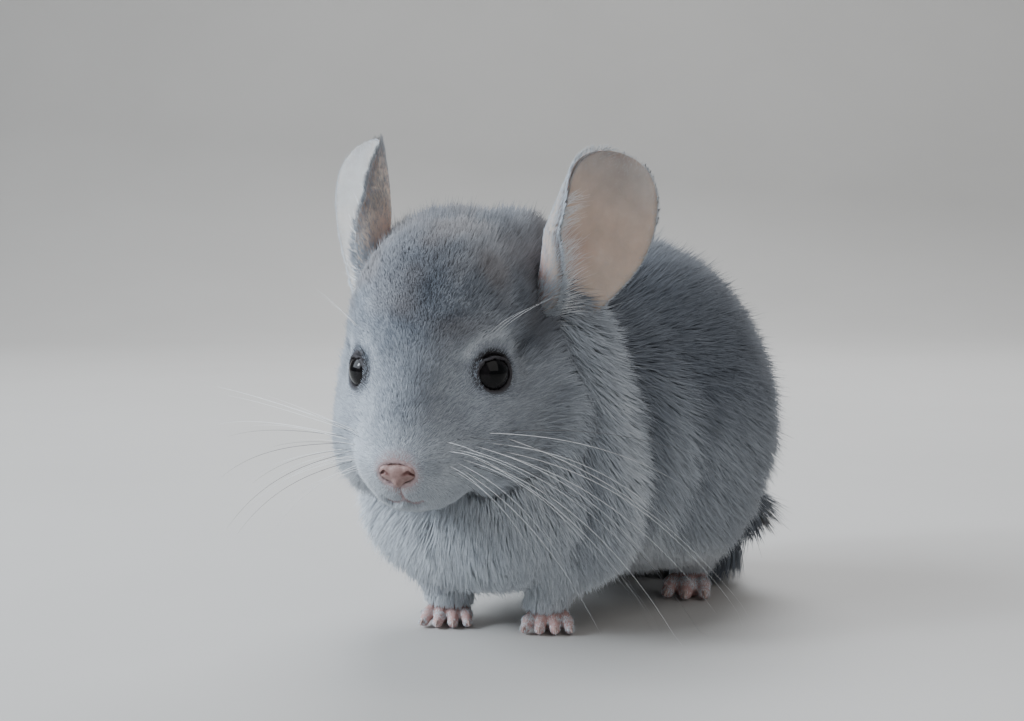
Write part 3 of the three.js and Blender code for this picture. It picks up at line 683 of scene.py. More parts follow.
def ear_mesh(o, ns=56, nt=41, th0=1.25, th1=0.7):
    s = 1 - (1 - np.linspace(0, 1, ns)) ** 1.6; s[-1] = 1.0
    t = np.sin(np.linspace(-1, 1, nt) * math.pi / 2) * 0.35 + np.linspace(-1, 1, nt) * 0.65
    S = ear_sheet(o, s, t)
    deep = head_to_row([12.0 * o["side"], 22.0, 8.0])
    pull = sstep(0.16, 0.0, s)[:, None] * (0.25 + 0.75 * sstep(-0.3, -0.9, t))[None, :]
    S = S + (deep - S) * 0.45 * pull[..., None]
    du = np.gradient(S, axis=1); dv = np.gradient(S, axis=0)
    n = np.cross(du, dv); n[-1] = n[-2]
    n /= np.linalg.norm(n, axis=2, keepdims=True) + 1e-9
    n[-1] = n[-2, nt // 2]
    # n points to one face
    edge = np.minimum(1, (1 - np.abs(t)) / 0.16)[None, :] * np.ones((ns, 1))
    edge = np.minimum(edge, np.minimum(1, (1 - s) / 0.10)[:, None])
    th = th1 + (th0 - th1) * np.sqrt(np.clip(edge, 0, 1))
    A = S + n * th[..., None] / 2; Bk = S - n * th[..., None] / 2
    # closed loop: face A, rim, face B, rim
    rim1 = S[:, -1] + (S[:, -1] - S[:, -2]) / (np.linalg.norm(S[:, -1] - S[:, -2], axis=1, keepdims=True) + 1e-6) * th[:, -1:] * 0.5
    rim0 = S[:, 0] + (S[:, 0] - S[:, 1]) / (np.linalg.norm(S[:, 0] - S[:, 1], axis=1, keepdims=True) + 1e-6) * th[:, :1] * 0.5
    rim1[-1] = S[-1, -1]; rim0[-1] = S[-1, 0]
    loop = np.concatenate([A, rim1[:, None], Bk[:, ::-1], rim0[:, None]], 1)[:-1]
    r, c = loop.shape[:2]
    V = loop.reshape(-1, 3)
    tip = S[-1].mean(0) + (S[-1].mean(0) - S[-2].mean(0)) * 0.2
    base = S[0].mean(0)
    V = np.concatenate([V, [tip]], 0)
    i, j = np.meshgrid(np.arange(r - 1), np.arange(c), indexing="ij")
    a = i * c + j; b = i * c + (j + 1) % c
    q = np.stack([a, b, b + c, a + c], -1).reshape(-1, 4)
    tri = np.concatenate([q[:, [0, 1, 2]], q[:, [0, 2, 3]]])
    last = (r - 1) * c; jj = np.arange(c)
    tri = np.concatenate([tri, np.stack([last + jj, last + (jj + 1) % c, np.full(c, len(V) - 1)], 1)])
    # close the root: strip between face A and face B
    half = nt
    bot = []
    idxA = np.arange(nt); idxB = nt + 1 + (nt - 1 - np.arange(nt))
    for k in range(nt - 1):
        bot += [(idxA[k], idxB[k], idxB[k + 1]), (idxA[k], idxB[k + 1], idxA[k + 1])]
    bot += [(idxA[nt - 1], idxB[nt - 1], nt), (idxA[0], c - 1, idxB[0])]
    tri = np.concatenate([tri, np.array(bot)])
    # orientation: outward
    P0, P1, P2 = V[tri[:, 0]], V[tri[:, 1]], V[tri[:, 2]]
    vol = (np.cross(P0 - base, P1 - base) * (P2 - base)).sum() / 6
    if vol < 0:
        tri = tri[:, ::-1]
    return V, tri, (S, n, s, t, th)


# ------------------------------------------------------------------ materials of single parts
def ear_material():
    m, nt, b = nt_new("ear_skin")
    tc = node(nt, "ShaderNodeTexCoord")
    n1 = node(nt, "ShaderNodeTexNoise", in_Scale=140.0, in_Detail=4.0, in_Roughness=0.6)
    n2 = node(nt, "ShaderNodeTexNoise", in_Scale=1500.0, in_Detail=2.0, in_Roughness=0.5)
    for n in (n1, n2):
        nt.links.new(tc.outputs["Object"], n.inputs["Vector"])
    beige = ramp(nt, n1.outputs["Fac"], [(0.30, (0.44, 0.38, 0.33)), (0.55, (0.52, 0.45, 0.39)), (0.75, (0.57, 0.51, 0.45))])
    grey = ramp(nt, n1.outputs["Fac"], [(0.30, (0.30, 0.30, 0.295)), (0.70, (0.40, 0.40, 0.39))])
    col = mix(nt, attr(nt, "grey"), beige, grey)
    col = mix(nt, attr(nt, "pink"), col, (0.50, 0.19, 0.16))
    # the edge mask carries the ear's own dark rim and also painted shade in the hollow at the ear's root
    col = mix(nt, attr(nt, "edge"), col, (0.14, 0.12, 0.12))
    nt.links.new(col, b.inputs["Base Color"])
    b.inputs["Roughness"].default_value = 0.55
    b.inputs["Specular IOR Level"].default_value = 0.35
    b.inputs["Subsurface Weight"].default_value = 0.5
    b.inputs["Subsurface Radius"].default_value = (0.0034, 0.0024, 0.0018)
    b.inputs["Subsurface Scale"].default_value = 1.0
    bump = node(nt, "ShaderNodeBump", in_Strength=0.25, in_Distance=0.0002)
    nt.links.new(n2.outputs["Fac"], bump.inputs["Height"])
    nt.links.new(bump.outputs[0], b.inputs["Normal"])
    return m


def nose_material():
    m, nt, b = nt_new("nose_leather")
    tc = node(nt, "ShaderNodeTexCoord")
    v = node(nt, "ShaderNodeTexVoronoi", in_Scale=2600.0)
    n1 = node(nt, "ShaderNodeTexNoise", in_Scale=500.0, in_Detail=3.0, in_Roughness=0.6)
    for n in (v, n1):
        nt.links.new(tc.outputs["Object"], n.inputs["Vector"])
    col = ramp(nt, n1.outputs["Fac"], [(0.25, (0.19, 0.115, 0.10)), (0.5, (0.27, 0.17, 0.155)), (0.8, (0.34, 0.235, 0.215))])
    # painted shade in the nostril slits
    col = mix(nt, attr(nt, "pit"), col, (0.10, 0.035, 0.03))
    nt.links.new(col, b.inputs["Base Color"])
    b.inputs["Roughness"].default_value = 0.48
    b.inputs["Specular IOR Level"].default_value = 0.4
    bump = node(nt, "ShaderNodeBump", in_Strength=0.45, in_Distance=0.00012)
    nt.links.new(v.outputs["Distance"], bump.inputs["Height"])
    nt.links.new(bump.outputs[0], b.inputs["Normal"])
    return m


def eye_material():
    m, nt, b = nt_new("eye_gloss")
    tc = node(nt, "ShaderNodeTexCoord")
    n1 = node(nt, "ShaderNodeTexNoise", in_Scale=1800.0, in_Detail=3.0, in_Roughness=0.6)
    nt.links.new(tc.outputs["Object"], n1.inputs["Vector"])
    iris = ramp(nt, n1.outputs["Fac"], [(0.3, (0.0025, 0.0022, 0.003)), (0.7, (0.007, 0.0055, 0.006))])
    col = mix(nt, attr(nt, "pupil"), iris, (0.0006, 0.0006, 0.001))
    nt.links.new(col, b.inputs["Base Color"])
    b.inputs["Roughness"].default_value = 0.30
    b.inputs["Specular IOR Level"].default_value = 0.02
    b.inputs["Coat Weight"].default_value = 0.9
    b.inputs["Coat Roughness"].default_value = 0.02
    b.inputs["Coat IOR"].default_value = 1.27
    return m


def claw_material():
    m, nt, b = nt_new("claw_horn")
    tc = node(nt, "ShaderNodeTexCoord")
    w = node(nt, "ShaderNodeTexNoise", in_Scale=1200.0, in_Detail=2.0, in_Roughness=0.5)
    nt.links.new(tc.outputs["Object"], w.inputs["Vector"])
    col = ramp(nt, w.outputs["Fac"], [(0.3, (0.30, 0.20, 0.18)), (0.7, (0.50, 0.38, 0.34))])
    nt.links.new(col, b.inputs["Base Color"])
    b.inputs["Roughness"].default_value = 0.35
    return m


def hair_material(name, light, dark):
    m, nt, b = nt_new(name)
    col = mix(nt, attr(nt, "rnd"), light, dark)
    nt.links.new(col, b.inputs["Base Color"])
    b.inputs["Roughness"].default_value = 0.42
    b.inputs["Specular IOR Level"].default_value = 0.5
    return m


# ------------------------------------------------------------------ skin
def loops_ok(q):
    return q


def skin_object():
    xs = spacing(-54, 54, -30, 19, 0.68, 1.45)
    ys = spacing(-97, 72, -97, -57, 0.68, 1.45)
    zs = spacing(-1.0, 116, 38, 80, 0.66, 1.45)
    V, q = nets(lambda x, y, z: smax(skin_field(x, y, z), 0.6 - z, 0.5), xs, ys, zs)
    V = project(lambda x, y, z: smax(skin_field(x, y, z), 0.6 - z, 0.5), V, 2, 0.5)
    tri = np.concatenate([q[:, [0, 1, 2]], q[:, [0, 2, 3]]])
    return np.asarray(V, float), tri


def paw_skin(key):
    s = PAWS[key]
    leg = LEGS[key]
    w, m_ = leg[-1], leg[-2]
    top = min(20.0, m_[2])
    t = (top - w[2]) / (m_[2] - w[2])
    up = tuple(w[k] + (m_[k] - w[k]) * t for k in range(3)) + (w[3] + (m_[3] - w[3]) * t - 3.2,)
    low = (w[0], w[1], w[2], w[3] - 1.7)

    def f(x, y, z):
        a = paw(x, y, z, key) + 0.42
        b = seg(x, y, z, up, low)
        return smax(smin(a, b, 3.0), 0.03 - z, 0.25)
    step = 0.42 if key in ("fl", "fr") else 0.55
    lo = np.array([s["at"][0] - 17, s["at"][1] - 19, -0.9]); hi = np.array([s["at"][0] + 17, s["at"][1] + 19, top + 8])
    g = [np.arange(lo[k] + 0.0137 * (k + 1), hi[k] + step, step) for k in range(3)]
    V, q = nets(f, *g)
    V = project(f, V, 2, 0.3)
    tri = np.concatenate([q[:, [0, 1, 2]], q[:, [0, 2, 3]]])
    return np.asarray(V, float), tri, f


def tri_normals(V, T):
    n = np.cross(V[T[:, 1]] - V[T[:, 0]], V[T[:, 2]] - V[T[:, 0]])
    a = np.linalg.norm(n, axis=1)
    return n / (a[:, None] + 1e-12), a / 2


def vert_normals(V, T):
    n = np.cross(V[T[:, 1]] - V[T[:, 0]], V[T[:, 2]] - V[T[:, 0]])
    out = np.zeros_like(V)
    for k in range(3):
        for c in range(3):
            out[:, c] += np.bincount(T[:, k], weights=n[:, c], minlength=len(V))
    return out / (np.linalg.norm(out, axis=1, keepdims=True) + 1e-12)


# ------------------------------------------------------------------ lie of the coat
def unit(v):
    return v / (np.linalg.norm(v, axis=-1, keepdims=True) + 1e-9)


TAIL_P = np.array([t[:3] for t in TAIL], float)


def lie_of(P, w):
    x, y, z = P.T
    hx, hy, hz = to_head(x, y, z)
    # head: away from the nose, then back and down over the cheeks
    r = np.stack([hx * 1.0, hy + 24.5, (hz + 21.0)], 1)
    hl = unit(r) + np.stack([0 * hx, 0.35 + 0 * hx, -0.25 * sstep(0, 20, hy) * sstep(10, -10, hz)], 1)
    below = sstep(-24, -30, hz)
    hl = hl * (1 - below[:, None]) + np.stack([0.15 * np.sign(hx), 0.75 + 0 * hx, -0.7 + 0 * hx], 1) * below[:, None]
    # round the eyes
    for s in (1, -1):
        d = np.stack([hx - EYE_C[s][0], hy - EYE_C[s][1], hz - EYE_C[s][2]], 1)
        k = sstep(10.5, 6.0, np.linalg.norm(d, axis=1))[:, None]
        hl = unit(hl) * (1 - 0.35 * k) + unit(d) * 0.55 * k
    hl = head_vec(unit(hl))
    fl_ = sstep(95, 40, z)
    tl = np.stack([0.05 * np.sign(x), 1.0 - 0.45 * fl_, -0.15 - 0.75 * fl_], 1)
    chest = sstep(-20, -44, y)[:, None]
    tl = tl * (1 - chest) + chest * np.stack([0.25 * np.sign(x + 11), 0.10 + 0 * x, -1.0 + 0 * x], 1)
    ll = np.stack([0 * x, -0.12 + 0 * x, -1.0 + 0 * x], 1)
    # tail: along the nearest stretch
    best = np.full(len(P), 1e9); td = np.zeros_like(P)
    for a, b in zip(TAIL_P[:-1], TAIL_P[1:]):
        ab = b - a; t = np.clip(((P - a) @ ab) / (ab @ ab), 0, 1)
        d = np.linalg.norm(P - a - t[:, None] * ab, axis=1)
        m = d < best
        best[m] = d[m]; td[m] = ab / np.linalg.norm(ab)
    L = hl * w[0][:, None] + unit(tl) * w[1][:, None] + ll * w[2][:, None] + td * w[3][:, None]
    return unit(L)


def coat_plan(P, N):
    """tufts per mm2, length, width, uprightness, clumping at points of the body's skin"""
    x, y, z = P.T
    hx, hy, hz, fh, ft, fl, fta = parts(x, y, z)
    D, w = depth_of(x, y, z, hx, hy, hz, fh, ft, fl, fta)
    face = w[0] * sstep(18, 2, hy) * sstep(16, 6, hz)
    dn = np.sqrt((hx - NOSE_AT[0]) ** 2 + (hy - NOSE_AT[1]) ** 2 + (hz - NOSE_AT[2]) ** 2)
    dens = 4.35 * w[1] + 6.0 * w[0] * (1 - face) + 10.6 * face + 6.5 * w[2] + 4.5 * w[3]
    muz = face * sstep(14, 7, dn)
    dens = dens + 7 * muz
    under = sstep(0.55, 0.9, -N[:, 2]) * sstep(26, 16, z) * w[1]
    dens = dens * (1 - 0.55 * under)
    width = 0.38 * w[1] + 0.325 * w[0] * (1 - face) + 0.21 * face + 0.27 * w[2] + 0.40 * w[3]
    width = width * (1 - 0.3 * muz)
    upright = 0.72 * w[1] + 0.68 * w[0] * (1 - face) + 0.50 * face + 0.40 * w[2] + 0.42 * w[3]
    clump = 0.16 * w[1] + 0.14 * w[0] * (1 - face) + 0.05 * face + 0.12 * w[2] + 0.10 * w[3]
    # nothing where the ball of the eye, the mouth line and the nose leather are
    for s in (1, -1):
        c, e, r, u = eye_frame(s)
        d = np.sqrt((hx - c[0]) ** 2 + (hy - c[1]) ** 2 + (hz - c[2]) ** 2)
        px, py, pz = hx - c[0], hy - c[1], hz - c[2]
        ang = np.arccos(np.clip((px * e[0] + py * e[1] + pz * e[2]) / (d + 1e-6), -1, 1))
        dens = dens * np.where((d < EYE_R + 0.25) | ((ang < LIDS[s] + 0.14) & (d < EYE_R + 1.2)), 0, 1)
    g = ell(hx, hy, hz, NOSE_AT, (4.8, 3.0, 3.3))
    dens = np.where(g < 0.35, 0, dens)
    dens = np.where((mouth_line(hx, hz) < 0.26) & (hy < -12), 0, dens)
    return dens, D, width, upright, clump, w, face


# ------------------------------------------------------------------ tufts
CELL = 2.4


def clump_centre(P, cell, seed):
    base = np.floor(P / cell).astype(np.int64)
    best = np.full(len(P), 1e9); C = np.zeros_like(P); H = np.zeros(len(P))
    for dx in (-1, 0, 1):
        for dy in (-1, 0, 1):
            for dz in (-1, 0, 1):
                c = base + np.array([dx, dy, dz])
                h = (c[:, 0] * 73856093) ^ (c[:, 1] * 19349663) ^ (c[:, 2] * 83492791) ^ seed
                r = []
                for k in range(4):
                    h = (h ^ (h >> 13)) * 1274126177 & 0x7fffffff
                    r.append((h & 0xffff) / 65535.0)
                ctr = (c + np.stack(r[:3], 1)) * cell
                d = ((P - ctr) ** 2).sum(1)
                m = d < best
                best[m] = d[m]; C[m] = ctr[m]; H[m] = r[3][m]
    return C, H


def sample(V, T, dens):
    """random points on triangles, dens per mm2 at each triangle"""
    n, a = tri_normals(V, T)
    want = a * dens
    k = np.floor(want + RNG.random(len(want))).astype(int)
    i = np.repeat(np.arange(len(T)), k)
    u, v = RNG.random(len(i)), RNG.random(len(i))
    f = u + v > 1; u[f], v[f] = 1 - u[f], 1 - v[f]
    return i, np.stack([1 - u - v, u, v], 1)


def tuft_geometry(P, N, lie, L, W, up, clump, seed, bend=0.45, sink=0.25, jit=0.16):
    n = len(P)
    lie = lie - (lie * N).sum(1, keepdims=True) * N
    lie = unit(lie)
    C, H = clump_centre(P, CELL, seed)
    side = np.cross(N, lie)
    # each clump leans a little its own way
    lie = unit(lie + side * ((H - 0.5) * 0.34)[:, None] + RNG.normal(0, jit, (n, 1)) * side)
    upr = np.clip(up + RNG.normal(0, 0.06, n) + (H - 0.5) * 0.12, 0.1, 0.97)
    stray = RNG.random(n) < 0.09
    upr = np.where(stray, np.minimum(0.97, upr + 0.12), upr)
    lng = L * (0.86 + 0.22 * RNG.random(n)) * (0.95 + 0.12 * (H - 0.5)) * np.where(stray, 1.20, 1)
    wid = W * (0.75 + 0.5 * RNG.random(n)) * np.where(stray, 0.42, 1)
    s = np.sqrt(1 - upr ** 2)
    d0 = unit(N * upr[:, None] + lie * s[:, None])
    d1 = unit(d0 + lie * bend - N * 0.10)
    A = P - N * sink
    M = A + d0 * (lng * 0.46)[:, None]
    Tp = M + d1 * (lng * 0.56)[:, None]
    off = C - P
    off = off - (off * N).sum(1, keepdims=True) * N
    l = np.linalg.norm(off, axis=1, keepdims=True)
    off = off * np.minimum(1, 2.2 / (l + 1e-6))
    Tp = Tp + off * clump[:, None]
    M = M + off * (clump * 0.3)[:, None]
    a = unit(np.cross(d0, N) + 1e-5); b = unit(np.cross(a, d0))
    tw = RNG.normal(0, 0.25, (n, 1))
    a2 = a * np.cos(tw) + b * np.sin(tw); b2 = -a * np.sin(tw) + b * np.cos(tw)
    hw = (wid / 2)[:, None]
    V = np.stack([A, M + a2 * hw - b2 * hw * 0.2, M + b2 * hw * 0.7, M - a2 * hw - b2 * hw * 0.2, Tp], 1)
    nn = np.stack([N, unit(N + a2 * 0.30), unit(N + b2 * 0.15), unit(N - a2 * 0.30), unit(N + d1 * 0.22)], 1)
    return V, nn, H


FACES = np.array([[0, 1, 2], [0, 2, 3], [0, 3, 1], [4, 2, 1], [4, 3, 2], [4, 1, 3]])
TIPV = np.array([0.0, 0.5, 0.55, 0.5, 1.0], F)
UVO = np.array([[0, -0.0015], [-0.0012, 0], [0, 0.0002], [0.0012, 0], [0, 0.0015]], F)


def tuft_object(name, V, nn, uv, attrs, mat, slot):
    n = len(V)
    faces = (np.arange(n)[:, None, None] * 5 + FACES[None]).reshape(-1, 3)
    me = new_mesh(name, V.reshape(-1, 3), faces)
    for k, v in attrs.items():
        attribute(me, k, np.repeat(np.asarray(v, F), 5))
    attribute(me, "tip", np.tile(TIPV, n))
    lay = me.uv_layers.new(name="OFBake")
    U = (uv[:, None, :].astype(F) + UVO[None]).reshape(-1, 2)
    U = np.clip(U, 0.0005, 0.9995)
    lay.data.foreach_set("uv", U[faces.ravel()].ravel())
    me.normals_split_custom_set_from_vertices(nn.reshape(-1, 3).astype(F))
    me.materials.append(mat)
    ob = new_object(name, me)
    return ob


def sector_uv(P, centre, scale, flip=0.0):
    d = (P - centre) / scale
    d = d / (np.linalg.norm(d, axis=1, keepdims=True) + 1e-9)
    az = (np.arctan2(d[:, 1], d[:, 0]) + flip) % (2 * math.pi)
    el = np.arcsin(np.clip(d[:, 2], -1, 1))
    return az, el


def emit(name, V, nn, P, attrs, mat, slot, centre, scale, limit=32500, flip=0.0):
    az, el = sector_uv(P, centre, scale, flip)
    n = len(P); k = max(1, math.ceil(n / limit))
    order = np.argsort(az, kind="stable")
    obs = []
    for i, idx in enumerate(np.array_split(order, k)):
        a, e = az[idx], el[idx]
        uv = np.stack([(a - a.min()) / (np.ptp(a) + 1e-6), (e - e.min()) / (np.ptp(e) + 1e-6)], 1) * 0.99 + 0.005
        obs.append(tuft_object(f"{name}_{i + 1}" if k > 1 else name, V[idx], nn[idx], uv,
                               {a_: v[idx] for a_, v in attrs.items()}, mat, slot))
    return obs


# ------------------------------------------------------------------ the whole animal
PIECES = []
coat_mat = {k: coat_material("coat_" + k, t, r) for k, t, r in
            (("head", 1.10, 0.80), ("body", 1.12, 0.76), ("tail", 1.10, 0.80), ("pale", 1.08, 0.82))}
skin_mat = skin_material("skin")

SV, ST = skin_object()
SN = vert_normals(SV, ST)
print("skin", len(SV), len(ST), flush=True)

paws = {k: paw_skin(k) for k in PAWS}
ears = {k: ear_mesh(EARS[k]) for k in EARS}

# one closed skin: body, feet and ears joined
base = new_object("skin", new_mesh("skin", SV, ST))
cutters = []
for k, (V, T, f) in paws.items():
    cutters.append(new_object("cut_" + k, new_mesh("cut_" + k, V, T)))
for k, (V, T, _) in ears.items():
    cutters.append(new_object("cut_ear_" + k, new_mesh("cut_ear_" + k, V, T)))
n_before = len(base.data.polygons)
for c in cutters:
    md = base.modifiers.new("join", "BOOLEAN")
    md.operation = "UNION"; md.solver = "MANIFOLD"; md.object = c
dg = bpy.context.evaluated_depsgraph_get()
ev = bpy.data.meshes.new_from_object(base.evaluated_get(dg))
if len(ev.polygons) > n_before + 20000:
    base.modifiers.clear(); base.data = ev
else:
    base.modifiers.clear()
    print("skin union failed, parts joined instead", len(ev.polygons), flush=True)
    allV, allT, o = [SV], [ST], len(SV)
    for V, T in [(p[0], p[1]) for p in paws.values()] + [(e[0], e[1]) for e in ears.values()]:
        allV.append(V); allT.append(T + o); o += len(V)
    base.data = new_mesh("skin", np.concatenate(allV), np.concatenate(allT))
for c in cutters:
    bpy.data.objects.remove(c)
me = base.data
co = np.empty(len(me.vertices) * 3, F); me.vertices.foreach_get("co", co)
P = co.reshape(-1, 3).astype(float) * 1000 - SHIFT
no = np.empty(len(me.vertices) * 3, F); me.vertices.foreach_get("normal", no)
N = no.reshape(-1, 3).astype(float)
me.polygons.foreach_set("use_smooth", np.ones(len(me.polygons), bool))
tone, brown, w = markings_and_shade(P, N)


def ear_near(P):
    """distance to the nearest point of each ear's middle sheet, and its place on it"""
    from mathutils.kdtree import KDTree
    out = []
    for k, (V, T, (S, n, s, t, th)) in ears.items():
        kd = KDTree(S.shape[0] * S.shape[1])
        for i, p in enumerate(S.reshape(-1, 3)):
            kd.insert(p, i)
        kd.balance()
        lo, hi = S.reshape(-1, 3).min(0) - 3, S.reshape(-1, 3).max(0) + 3
        m = ((P > lo) & (P < hi)).all(1)
        d = np.full(len(P), 99.0); idx = np.zeros(len(P), int)
        for j in np.nonzero(m)[0]:
            _, i, dd = kd.find(P[j])
            d[j] = dd; idx[j] = i
        out.append((d, s[idx // S.shape[1]], t[idx % S.shape[1]]))
    d = np.stack([o[0] for o in out]); b = d.argmin(0); r = np.arange(len(P))
    return d[b, r], np.stack([o[1] for o in out])[b, r], np.stack([o[2] for o in out])[b, r], b


fo = np.minimum.reduce([paw(P[:, 0], P[:, 1], P[:, 2], k) for k in PAWS])
is_paw = (fo < 0.4) & (P[:, 2] < 9)
hx, hy, hz = to_head(*P.T)
pink = np.where(is_paw, 0.85, 0.0)
for s_ in (1, -1):
    c, e, r, u = eye_frame(s_)
    d = np.sqrt((hx - c[0]) ** 2 + (hy - c[1]) ** 2 + (hz - c[2]) ** 2)
    if s_ == 1:
        lid = sstep(7.0, 6.1, d)
    else:
        lid = np.maximum(lid, sstep(7.0, 6.1, d))
mo = mouth_line(hx, hz)
pink = np.maximum(pink, 0.5 * sstep(1.1, 0.5, mo) * (hy < -12))
dn = np.sqrt((hx - NOSE_AT[0]) ** 2 + (hy - NOSE_AT[1]) ** 2 + (hz - NOSE_AT[2]) ** 2)
pink = np.maximum(pink, 0.5 * sstep(7.0, 4.5, dn))
ed, es, et, eb = ear_near(P)
is_ear = ed < 1.3
tone[is_paw] = 0.05
for k, v in (("tone", tone), ("brown", brown), ("pink", pink), ("lid", lid)):
    attribute(me, k, v)
# painted light: the back half of the right ear is grey for the bluish light falling on it; the grey towards both tips
# is the ears' own colour
attribute(me, "grey", np.clip(0.85 * sstep(0.55, 0.98, es) + np.where(eb == 1, 0.8 * sstep(-0.1, 0.4, et), 0.0), 0, 1))
attribute(me, "edge", 0.55 * sstep(0.90, 0.97, np.where(et < 0, -et, 0.8)) * sstep(0.1, 0.3, es) + 0.3 * sstep(0.94, 1.0, np.maximum(np.abs(et), es)))
canal = sstep(0.60, 0.12, es) * sstep(0.80, 0.10, np.abs(et + 0.25))
me.attributes["pink"].data.foreach_set("value", np.where(is_ear, np.where(eb == 1, 0.35, 0.9) * canal, pink).astype(F))
rimv = np.zeros(len(me.vertices), F); me.attributes["edge"].data.foreach_get("value", rimv)
# painted shade: the hollow at the front of the ear's root is darkened through the edge mask
ear_hollow_shade = 0.9 * sstep(0.36, 0.12, es) * sstep(0.5, 0.1, np.abs(et + 0.45))
me.attributes["edge"].data.foreach_set("value", np.maximum(rimv, np.where(is_ear, ear_hollow_shade, 0)).astype(F))
me.materials.clear(); me.materials.append(skin_mat)
ear_mat = ear_material(); me.materials.append(ear_mat)
tv = np.empty(len(me.loops), np.int32); me.loops.foreach_get("vertex_index", tv)
ls = np.empty(len(me.polygons), np.int32); me.polygons.foreach_get("loop_start", ls)
me.polygons.foreach_set("material_index", (is_ear[tv[ls]]).astype(np.int32))
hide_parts("head", "trunk", "neck", "tail", "hindleg_L", "hindleg_R", "foreleg_L", "foreleg_R",
            "hindfoot_L", "hindfoot_R", "forepaw_L", "forepaw_R", "ear_L", "ear_R")
PIECES.append(base)
print("skin faces", len(me.polygons), flush=True)

# ------------------------------------------------------------------ eyes
eye_mat = eye_material()


def eye_ball(side, name):
    c, e, r, u = eye_frame(side)
    nr, na = 48, 64
    th = np.linspace(0, math.pi, nr + 1)[1:-1]
    ph = np.linspace(0, 2 * math.pi, na, endpoint=False)
    Tt, Pp = np.meshgrid(th, ph, indexing="ij")
    R = EYE_R * (1 + 0.02 * np.exp(-(Tt / 0.55) ** 2))
    V = (e[None, None] * np.cos(Tt)[..., None] + (r[None, None] * np.cos(Pp)[..., None] + u[None, None] * np.sin(Pp)[..., None]) * np.sin(Tt)[..., None]) * R[..., None]
    V = np.concatenate([[e * EYE_R * 1.02], V.reshape(-1, 3), [-e * EYE_R]]) + c
    n = len(V); i, j = np.meshgrid(np.arange(nr - 2), np.arange(na), indexing="ij")
    a = 1 + i * na + j; b = 1 + i * na + (j + 1) % na
    q = np.stack([a, a + na, b + na, b], -1).reshape(-1, 4)
    tri = np.concatenate([q[:, [0, 1, 2]], q[:, [0, 2, 3]]])
    j = np.arange(na)
    tri = np.concatenate([tri, np.stack([np.zeros(na, int), 1 + j, 1 + (j + 1) % na], 1),
                          np.stack([np.full(na, n - 1), n - 1 - na + (j + 1) % na, n - 1 - na + j], 1)])
    W = head_to_row(V)
    nrm, _ = tri_normals(W, tri)
    if (nrm * (W[tri[:, 0]] - head_to_row(c))).sum() < 0:
        tri = tri[:, ::-1]
    m = new_mesh(name, W, tri)
    ang = np.arccos(np.clip((V - c) @ e / np.linalg.norm(V - c, axis=1), -1, 1))
    attribute(m, "pupil", sstep(0.50, 0.38, ang))
    m.materials.append(eye_mat)
    ob = new_object(name, m)
    return ob


for s_, k in ((1, "L"), (-1, "R")):
    ob = eye_ball(s_, "eyeball_" + k)
    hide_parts("eye_" + k); PIECES.append(ob)


# ------------------------------------------------------------------ nose leather
def nose_field(x, y, z):
    hx, hy, hz = to_head(x, y, z)
    x, y, z = hx - NOSE_AT[0], hy - NOSE_AT[1], hz - NOSE_AT[2]
    ax = np.abs(x)
    f = ell(x, y, z, (0, 0.2, 0.0), (4.5, 2.7, 2.7))
    f = smin(f, ell(ax, y, z, (3.0, 0.2, 0.5), (1.9, 2.3, 1.9)), 1.0)
    f = smin(f, ell(x, y, z, (0, -0.1, -2.2), (1.3, 1.9, 1.6)), 0.8)
    # nostrils: curved slits, and the groove down the middle
    f = smax(f, -seg(ax, y, z, (1.55, -2.9, -0.9, 0.50), (3.1, -2.1, 0.1, 0.34)), 0.35)
    f = smax(f, -seg(ax, y, z, (3.1, -2.1, 0.1, 0.34), (4.2, -0.9, -0.5, 0.22)), 0.35)
    f = smax(f, -seg(x, y, z, (0, -2.95, 0.6, 0.12), (0, -2.6, -3.6, 0.30)), 0.3)
    return f


c = head_to_row(NOSE_AT)
g = [np.arange(c[k] - 6.2 + 0.011 * k, c[k] + 6.2, 0.2) for k in range(3)]
V, q = nets(nose_field, *g)
V = project(nose_field, V, 2, 0.12)
T = np.concatenate([q[:, [0, 1, 2]], q[:, [0, 2, 3]]])
nm = new_mesh("nose_leather", V, T)
hx, hy, hz = to_head(*np.asarray(V, float).T)
x, y, z = hx - NOSE_AT[0], hy - NOSE_AT[1], hz - NOSE_AT[2]
# painted shade: the pit mask darkens the nostril slits
pit = np.minimum(seg(np.abs(x), y, z, (1.55, -2.9, -0.9, 0.50), (3.1, -2.1, 0.1, 0.34)),
                 seg(np.abs(x), y, z, (3.1, -2.1, 0.1, 0.34), (4.2, -0.9, -0.5, 0.22)))
attribute(nm, "pit", sstep(0.28, -0.02, pit))
nm.materials.append(nose_material())
nose = new_object("nose_leather", nm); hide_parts("nose"); PIECES.append(nose)


